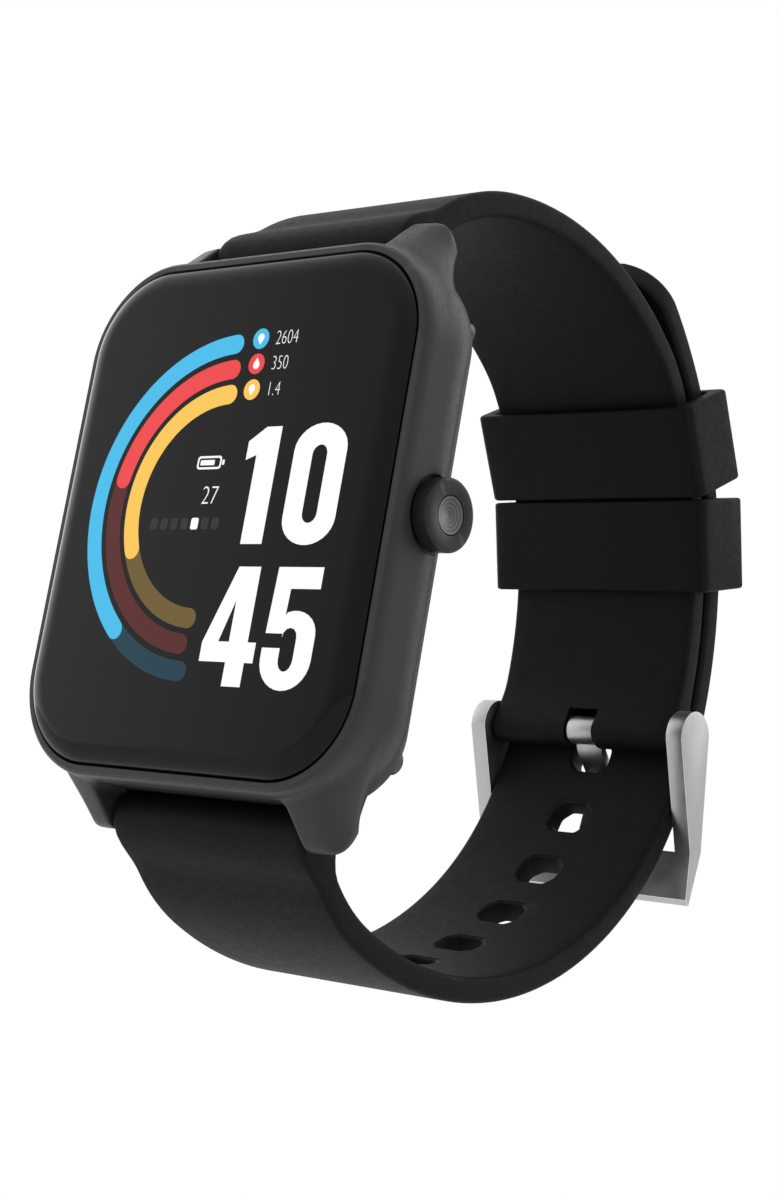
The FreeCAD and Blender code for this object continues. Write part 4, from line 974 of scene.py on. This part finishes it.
def make_readings(bright, white, dark):
    """Icon discs with their numbers, the battery mark, the day number and the week's row."""
    for name, (colour, z, text) in READINGS.items():
        figure = drop((DISC_X, z), 0.36, 1 if name == "effort" else -1)
        flat_mark("disc_%s" % name, [circle((DISC_X, z), DISC_RADIUS), figure], bright[colour])
        flat_mark("figure_%s" % name, [figure], white)
        number("number_%s" % name, text, 4.1, z - 0.62, 1.25, white)
    case = small_rectangle(-2.35, 0.45, 3.45, 4.6, 0.3)
    hollow = small_rectangle(-2.17, 0.27, 3.63, 4.42, 0.18)
    level = small_rectangle(-1.98, -0.35, 3.8, 4.25, 0.08)
    flat_mark("battery_mark", [case, hollow], white)
    flat_mark("battery_level", [level], white)
    flat_mark("battery_tip", [small_rectangle(0.55, 0.8, 3.8, 4.25, 0.1)], white)
    number("day_number", "27", 0.8, 0.42, 1.6, white, align="RIGHT", condense=0.85)
    for i in range(7):
        x = WEEK_LEFT + i * WEEK_PITCH
        outline = small_rectangle(x, x + 0.85, -1.75, -0.75, 0.2)
        flat_mark("week_%d" % (i + 1), [outline], white if i == WEEK_LIT else dark)


# ---- materials

NOISE_RANGE = (0.3, 0.7)
WORN_RANGE = (0.54, 0.62)


def ramp(tree, value, source, target=(0.0, 1.0)):
    """A node value mapped from the source range to the target range."""
    node = tree.nodes.new("ShaderNodeMapRange")
    names = ("From Min", "From Max", "To Min", "To Max")
    for name, amount in zip(names, (*source, *target)):
        node.inputs[name].default_value = amount
    tree.links.new(value, node.inputs["Value"])
    return node.outputs["Result"]


class Nodes:
    """Short-hand for one material's node tree, in object coordinates."""

    def __init__(self, name):
        self.material = bpy.data.materials.new(name)
        self.material.use_nodes = True
        self.tree = self.material.node_tree
        self.shader = self.tree.nodes["Principled BSDF"]
        self.coordinates = self.add("ShaderNodeTexCoord").outputs["Object"]

    def add(self, kind, **values):
        node = self.tree.nodes.new(kind)
        for name, value in values.items():
            setattr(node, name, value)
        return node

    def link(self, output, target):
        self.tree.links.new(output, target)

    def feed(self, socket, output):
        self.link(output, self.shader.inputs[socket])

    def stretched(self, scale):
        mapping = self.add("ShaderNodeMapping")
        mapping.inputs["Scale"].default_value = scale
        self.link(self.coordinates, mapping.inputs["Vector"])
        return mapping.outputs["Vector"]

    def noise(self, size_mm, detail=2.0, vector=None):
        """Noise whose blobs are about size_mm across."""
        noise = self.add("ShaderNodeTexNoise")
        noise.inputs["Scale"].default_value = 1.0 / (size_mm * MM)
        noise.inputs["Detail"].default_value = detail
        self.link(vector or self.coordinates, noise.inputs["Vector"])
        return noise.outputs["Fac"]

    def spread(self, factor, low, high):
        """Noise's middle range stretched to low..high."""
        return ramp(self.tree, factor, NOISE_RANGE, (low, high))

    def mix(self, factor, first, second):
        mix = self.add("ShaderNodeMix", data_type="RGBA")
        self.link(factor, mix.inputs["Factor"])
        for socket, colour in ((mix.inputs[6], first), (mix.inputs[7], second)):
            if isinstance(colour, tuple):
                socket.default_value = (*colour, 1.0)
            else:
                self.link(colour, socket)
        return mix.outputs[2]

    def bump(self, layers):
        """Stacked bumps from (factor, height in mm)."""
        normal = None
        for factor, height in layers:
            bump = self.add("ShaderNodeBump")
            bump.inputs["Distance"].default_value = height * MM
            self.link(factor, bump.inputs["Height"])
            if normal is not None:
                self.link(normal, bump.inputs["Normal"])
            normal = bump.outputs["Normal"]
        self.feed("Normal", normal)

    def worn_edges(self, colour, worn):
        """Colour that turns to worn along outward edges."""
        edge = self.add("ShaderNodeNewGeometry").outputs["Pointiness"]
        return self.mix(ramp(self.tree, edge, WORN_RANGE), colour, worn)

    def set(self, **values):
        for name, value in values.items():
            self.shader.inputs[name.replace("_", " ")].default_value = value


def tinted(colour, factor):
    return tuple(channel * factor for channel in colour)


def surface(name, colour, roughness, metallic=0.0, specular=0.5, grain=(0.12, 0.003), tone=0.12,
            patch_mm=6.0, rough_range=0.06, worn=None, coat=0.0):
    """A moulded, coated or bead-blasted surface: tone patches, uneven gloss and a fine grain."""
    n = Nodes(name)
    patches = n.noise(patch_mm, 3.0)
    base = n.mix(patches, tinted(colour, 1 - tone), tinted(colour, 1 + tone))
    if worn is not None:
        base = n.worn_edges(base, worn)
    n.feed("Base Color", base)
    gloss = n.spread(n.noise(grain[0] * 4, 4.0), roughness - rough_range, roughness + rough_range)
    n.feed("Roughness", gloss)
    n.bump([(n.noise(grain[0], 2.0), grain[1]), (n.noise(patch_mm * 0.5, 1.0), grain[1] * 1.5)])
    n.set(Metallic=metallic, Specular_IOR_Level=specular, Coat_Weight=coat, Coat_Roughness=0.1)
    return n.material


def brushed(name, colour, roughness, stretch, depth=0.0025, specular=0.5):
    """Metal with fine parallel scratches; stretch is long along the scratches' direction."""
    n = Nodes(name)
    lines = n.noise(0.09, 4.0, n.stretched(stretch))
    smudges = n.noise(3.0, 3.0)
    base = n.mix(lines, tinted(colour, 0.82), tinted(colour, 1.08))
    n.feed("Base Color", base)
    n.feed("Roughness", n.spread(smudges, roughness - 0.05, roughness + 0.07))
    n.bump([(lines, depth)])
    n.set(Metallic=1.0, Specular_IOR_Level=specular)
    return n.material


def glass_black():
    """Black cover glass over a dark screen, with faint smears in the gloss."""
    n = Nodes("black_glass")
    smears = n.noise(9.0, 4.0)
    base = n.mix(smears, (0.001, 0.001, 0.001), (0.0016, 0.0016, 0.0017))
    n.feed("Base Color", base)
    n.feed("Roughness", n.spread(smears, 0.07, 0.11))
    n.bump([(n.noise(12.0, 1.0), 0.002)])
    n.set(Metallic=0.0, Specular_IOR_Level=0.15, IOR=1.5)
    return n.material


def lit(name, colour, strength):
    """Screen colour made of fine pixel rows, seen under the glass."""
    n = Nodes(name)
    rows = n.add("ShaderNodeTexWave", wave_type="BANDS", bands_direction="Z")
    rows.inputs["Scale"].default_value = 1.0 / (2 * 0.1 * MM)
    rows.inputs["Distortion"].default_value = 0.0
    n.link(n.coordinates, rows.inputs["Vector"])
    glow = n.mix(rows.outputs["Fac"], tinted(colour, 0.94), tinted(colour, 1.0))
    n.feed("Emission Color", glow)
    base = n.mix(rows.outputs["Fac"], tinted(colour, 0.01), tinted(colour, 0.02))
    n.feed("Base Color", base)
    n.feed("Roughness", n.spread(n.noise(9.0, 4.0), 0.1, 0.16))
    n.set(Emission_Strength=strength, Specular_IOR_Level=0.08)
    return n.material


def spun_metal():
    """Dished disc turned on a lathe: fine rings about the crown's axis, and a radial sheen."""
    n = Nodes("spun_dish")
    centre = n.add("ShaderNodeMapping", vector_type="POINT")
    row_y = RIM_Y + CROWN[0] * MM
    centre.inputs["Location"].default_value = (0.0, -row_y, -CROWN[1] * MM)
    centre.inputs["Scale"].default_value = (0.0, 1.0, 1.0)
    n.link(n.coordinates, centre.inputs["Vector"])
    rings = n.add("ShaderNodeTexWave", wave_type="RINGS", rings_direction="X")
    rings.inputs["Scale"].default_value = 1.0 / (20 * 0.05 * MM)
    rings.inputs["Distortion"].default_value = 0.6
    n.link(centre.outputs["Vector"], rings.inputs["Vector"])
    tone = n.mix(rings.outputs["Fac"], (0.07, 0.07, 0.072), (0.12, 0.12, 0.123))
    n.feed("Base Color", tone)
    n.feed("Roughness", n.spread(n.noise(0.3, 3.0), 0.26, 0.34))
    tangent = n.add("ShaderNodeTangent", direction_type="RADIAL", axis="X")
    n.feed("Tangent", tangent.outputs["Tangent"])
    n.set(Metallic=1.0, Anisotropic=0.85)
    return n.material


GRAPHITE = (0.026, 0.0262, 0.0268)
RUBBER = (0.0028, 0.0028, 0.0029)

case_paint = surface("graphite_case", GRAPHITE, 0.44, metallic=0.3, specular=0.22,
                     grain=(0.10, 0.0022), worn=(0.036, 0.0365, 0.0375))
crown_paint = surface("graphite_crown", tinted(GRAPHITE, 0.7), 0.4, metallic=0.3, specular=0.2,
                      grain=(0.08, 0.002), patch_mm=3.0, worn=(0.045, 0.0455, 0.047))
silicone = surface("strap_rubber", RUBBER, 0.62, specular=0.11, grain=(0.16, 0.006), tone=0.18,
                   rough_range=0.05, worn=(0.009, 0.009, 0.0092))
keeper_rubber = surface("keeper_rubber", tinted(RUBBER, 1.1), 0.58, specular=0.1,
                        grain=(0.14, 0.005), tone=0.18, worn=(0.012, 0.012, 0.0122))
steel_face = brushed("brushed_buckle", (0.44, 0.44, 0.45), 0.36, (1.0, 1.0, 0.05))
steel_edge = surface("polished_edge", (0.78, 0.78, 0.8), 0.14, metallic=1.0, grain=(0.25, 0.0015),
                     tone=0.05, rough_range=0.04)
dish_metal = spun_metal()
glass_look = glass_black()

SLOT_LOOKS = {
    "case_metal": case_paint,
    "rear_plastic": surface("rear_shell", (0.016, 0.016, 0.0165), 0.5, grain=(0.13, 0.007)),
    "cover_glass": glass_look,
    "display_layers": surface("display_stack", (0.01, 0.01, 0.012), 0.2),
    "seal_rubber": surface("seal_rubber_look", (0.02, 0.02, 0.02), 0.7),
    "flex_film": surface("flex_film_look", (0.42, 0.2, 0.05), 0.35, tone=0.2),
    "inner_plastic": surface("frame_plastic", (0.05, 0.05, 0.052), 0.55),
    "circuit_board": surface("board_green", (0.012, 0.07, 0.028), 0.4, tone=0.25, patch_mm=1.5),
    "chip_plastic": surface("chip_black", (0.02, 0.02, 0.021), 0.5),
    "shield_metal": brushed("shield_tin", (0.6, 0.6, 0.58), 0.35, (1.0, 1.0, 0.1)),
    "battery_foil": brushed("cell_foil", (0.62, 0.62, 0.64), 0.4, (0.3, 1.0, 1.0)),
    "steel": brushed("bar_steel", (0.6, 0.6, 0.61), 0.28, (0.05, 1.0, 1.0)),
    "screw_steel": surface("screw_black_steel", (0.07, 0.07, 0.073), 0.36, metallic=1.0,
                           grain=(0.05, 0.002)),
    "sensor_glass": surface("sensor_window_look", (0.006, 0.006, 0.009), 0.08, grain=(2.0, 0.0005),
                            rough_range=0.03, coat=0.5),
    "lamp_plastic": surface("lamp_lens", (0.55, 0.6, 0.5), 0.25, tone=0.1),
    "contact_gold": surface("gold_plate", (0.83, 0.58, 0.25), 0.24, metallic=1.0, grain=(0.08, 0.0015)),
    "crown_metal": crown_paint,
    "inlay_metal": dish_metal,
    "strap_silicone": silicone,
    "buckle_steel": steel_face,
}


def dress_cad_nodes():
    """Every CAD node gets the look of its slot, which its first material's name says."""
    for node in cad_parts.values():
        for slot in node.material_slots:
            name = slot.material.name.split(".")[0] if slot.material else "case_metal"
            slot.material = SLOT_LOOKS.get(name, case_paint)


# ---- pieces

def make_pieces():
    make_case(case_paint)
    make_rear_cover(SLOT_LOOKS["rear_plastic"])
    make_glass(glass_look)
    make_crown(crown_paint, dish_metal)
    make_buckle_strap(silicone)
    make_long_strap(silicone)
    for node, (body, angle) in KEEPERS.items():
        make_keeper(node, body, angle, keeper_rubber)
    make_buckle((steel_face, steel_edge))
    make_tongue((steel_face, steel_edge))


SCREEN = {"blue": (0.074, 0.533, 0.871), "red": (0.888, 0.074, 0.08),
          "yellow": (1.0, 0.604, 0.107)}
FADED = {"blue": (0.023, 0.069, 0.102), "red": (0.133, 0.032, 0.032),
         "yellow": (0.205, 0.136, 0.045)}
SCREEN_GLOW = 0.97
FADED_GLOW = 0.8


def make_dial():
    bright = {name: lit("screen_" + name, colour, SCREEN_GLOW) for name, colour in SCREEN.items()}
    faded = {name: lit("faded_" + name, colour, FADED_GLOW) for name, colour in FADED.items()}
    white = lit("screen_white", (1.0, 1.0, 1.0), 1.0)
    grey = lit("screen_grey", (0.05, 0.05, 0.052), 0.7)
    make_rings(bright, faded)
    make_time(white)
    make_readings(bright, white, grey)


# ---- floor, light, camera

def make_floor():
    """A pale floor under the watch."""
    span = np.linspace(-FLOOR_HALF, FLOOR_HALF, FLOOR_STEPS)
    points = [(x, y, 0.0) for x in span for y in span]
    mesh = bpy.data.meshes.new("floor")
    mesh.from_pydata(points, [], grid(FLOOR_STEPS, FLOOR_STEPS))
    floor = new_object("floor", mesh)
    floor.location.z = FLOOR_Z
    n = Nodes("pale_floor")
    tone = n.mix(n.noise(400.0, 2.0), (0.86, 0.86, 0.86), (0.9, 0.9, 0.9))
    n.feed("Base Color", tone)
    n.set(Roughness=0.9, Specular_IOR_Level=0.1)
    mesh.materials.append(n.material)


def aimed(name, data, location, target, roll=0.0):
    """A lamp or camera at a place, looking at a target."""
    obj = new_object(name, data)
    obj.location = location
    obj.rotation_mode = "QUATERNION"
    look = (Vector(target) - Vector(location)).to_track_quat("-Z", "Y")
    obj.rotation_quaternion = look @ Quaternion((0, 0, 1), math.radians(roll))
    return obj


def soft_light(name, location, size, power):
    """A square softbox that points at the watch."""
    light = bpy.data.lights.new(name, "AREA")
    light.shape = "RECTANGLE"
    light.size = size
    light.size_y = size
    light.energy = power
    aimed(name, light, location, (0.0, 0.0, 0.0))


# the room's strength: (axis of the direction, range of it, range of strength), added up
ROOM_RAMPS = (("Z", (-0.4, 0.7), (0.62, 1.15)), ("X", (-0.64, -0.9), (0.0, 1.6)))
# softboxes: (place in metres, size, watts)
SOFTBOXES = {"top_light": ((0.15, 0.1, 0.75), 0.6, 0.4), "back_light": ((0.2, 0.5, 0.3), 0.4, 0.5)}


def make_light():
    """A white room, brighter overhead and to the left, that shows as paper white; two softboxes."""
    world = bpy.data.worlds.new("studio")
    bpy.context.scene.world = world
    world.use_nodes = True
    tree = world.node_tree
    link = tree.links.new
    room = tree.nodes["Background"]
    seen = tree.nodes.new("ShaderNodeBackground")
    for background in (room, seen):
        background.inputs["Color"].default_value = (1.0, 1.0, 1.0, 1.0)
    split = tree.nodes.new("ShaderNodeSeparateXYZ")
    direction = tree.nodes.new("ShaderNodeTexCoord").outputs["Generated"]
    link(direction, split.inputs["Vector"])
    total = tree.nodes.new("ShaderNodeMath")
    total.operation = "ADD"
    for term, (axis, source, strength) in zip(total.inputs, ROOM_RAMPS):
        link(ramp(tree, split.outputs[axis], source, strength), term)
    link(total.outputs["Value"], room.inputs["Strength"])
    path = tree.nodes.new("ShaderNodeLightPath")
    mix = tree.nodes.new("ShaderNodeMixShader")
    link(path.outputs["Is Camera Ray"], mix.inputs["Fac"])
    link(room.outputs["Background"], mix.inputs[1])
    link(seen.outputs["Background"], mix.inputs[2])
    link(mix.outputs["Shader"], tree.nodes["World Output"].inputs["Surface"])
    for name, (location, size, power) in SOFTBOXES.items():
        soft_light(name, location, size, power)
    bpy.context.scene.view_settings.view_transform = "Standard"


def make_camera():
    data = bpy.data.cameras.new("camera")
    data.lens = CAMERA_LENS
    data.sensor_width = SENSOR
    data.clip_start = 0.005
    data.clip_end = CAMERA_REACH
    camera = aimed("camera", data, CAMERA_PLACE, CAMERA_TARGET, CAMERA_ROLL)
    bpy.context.scene.camera = camera


dress_cad_nodes()
make_pieces()
make_dial()
make_floor()
make_light()
make_camera()
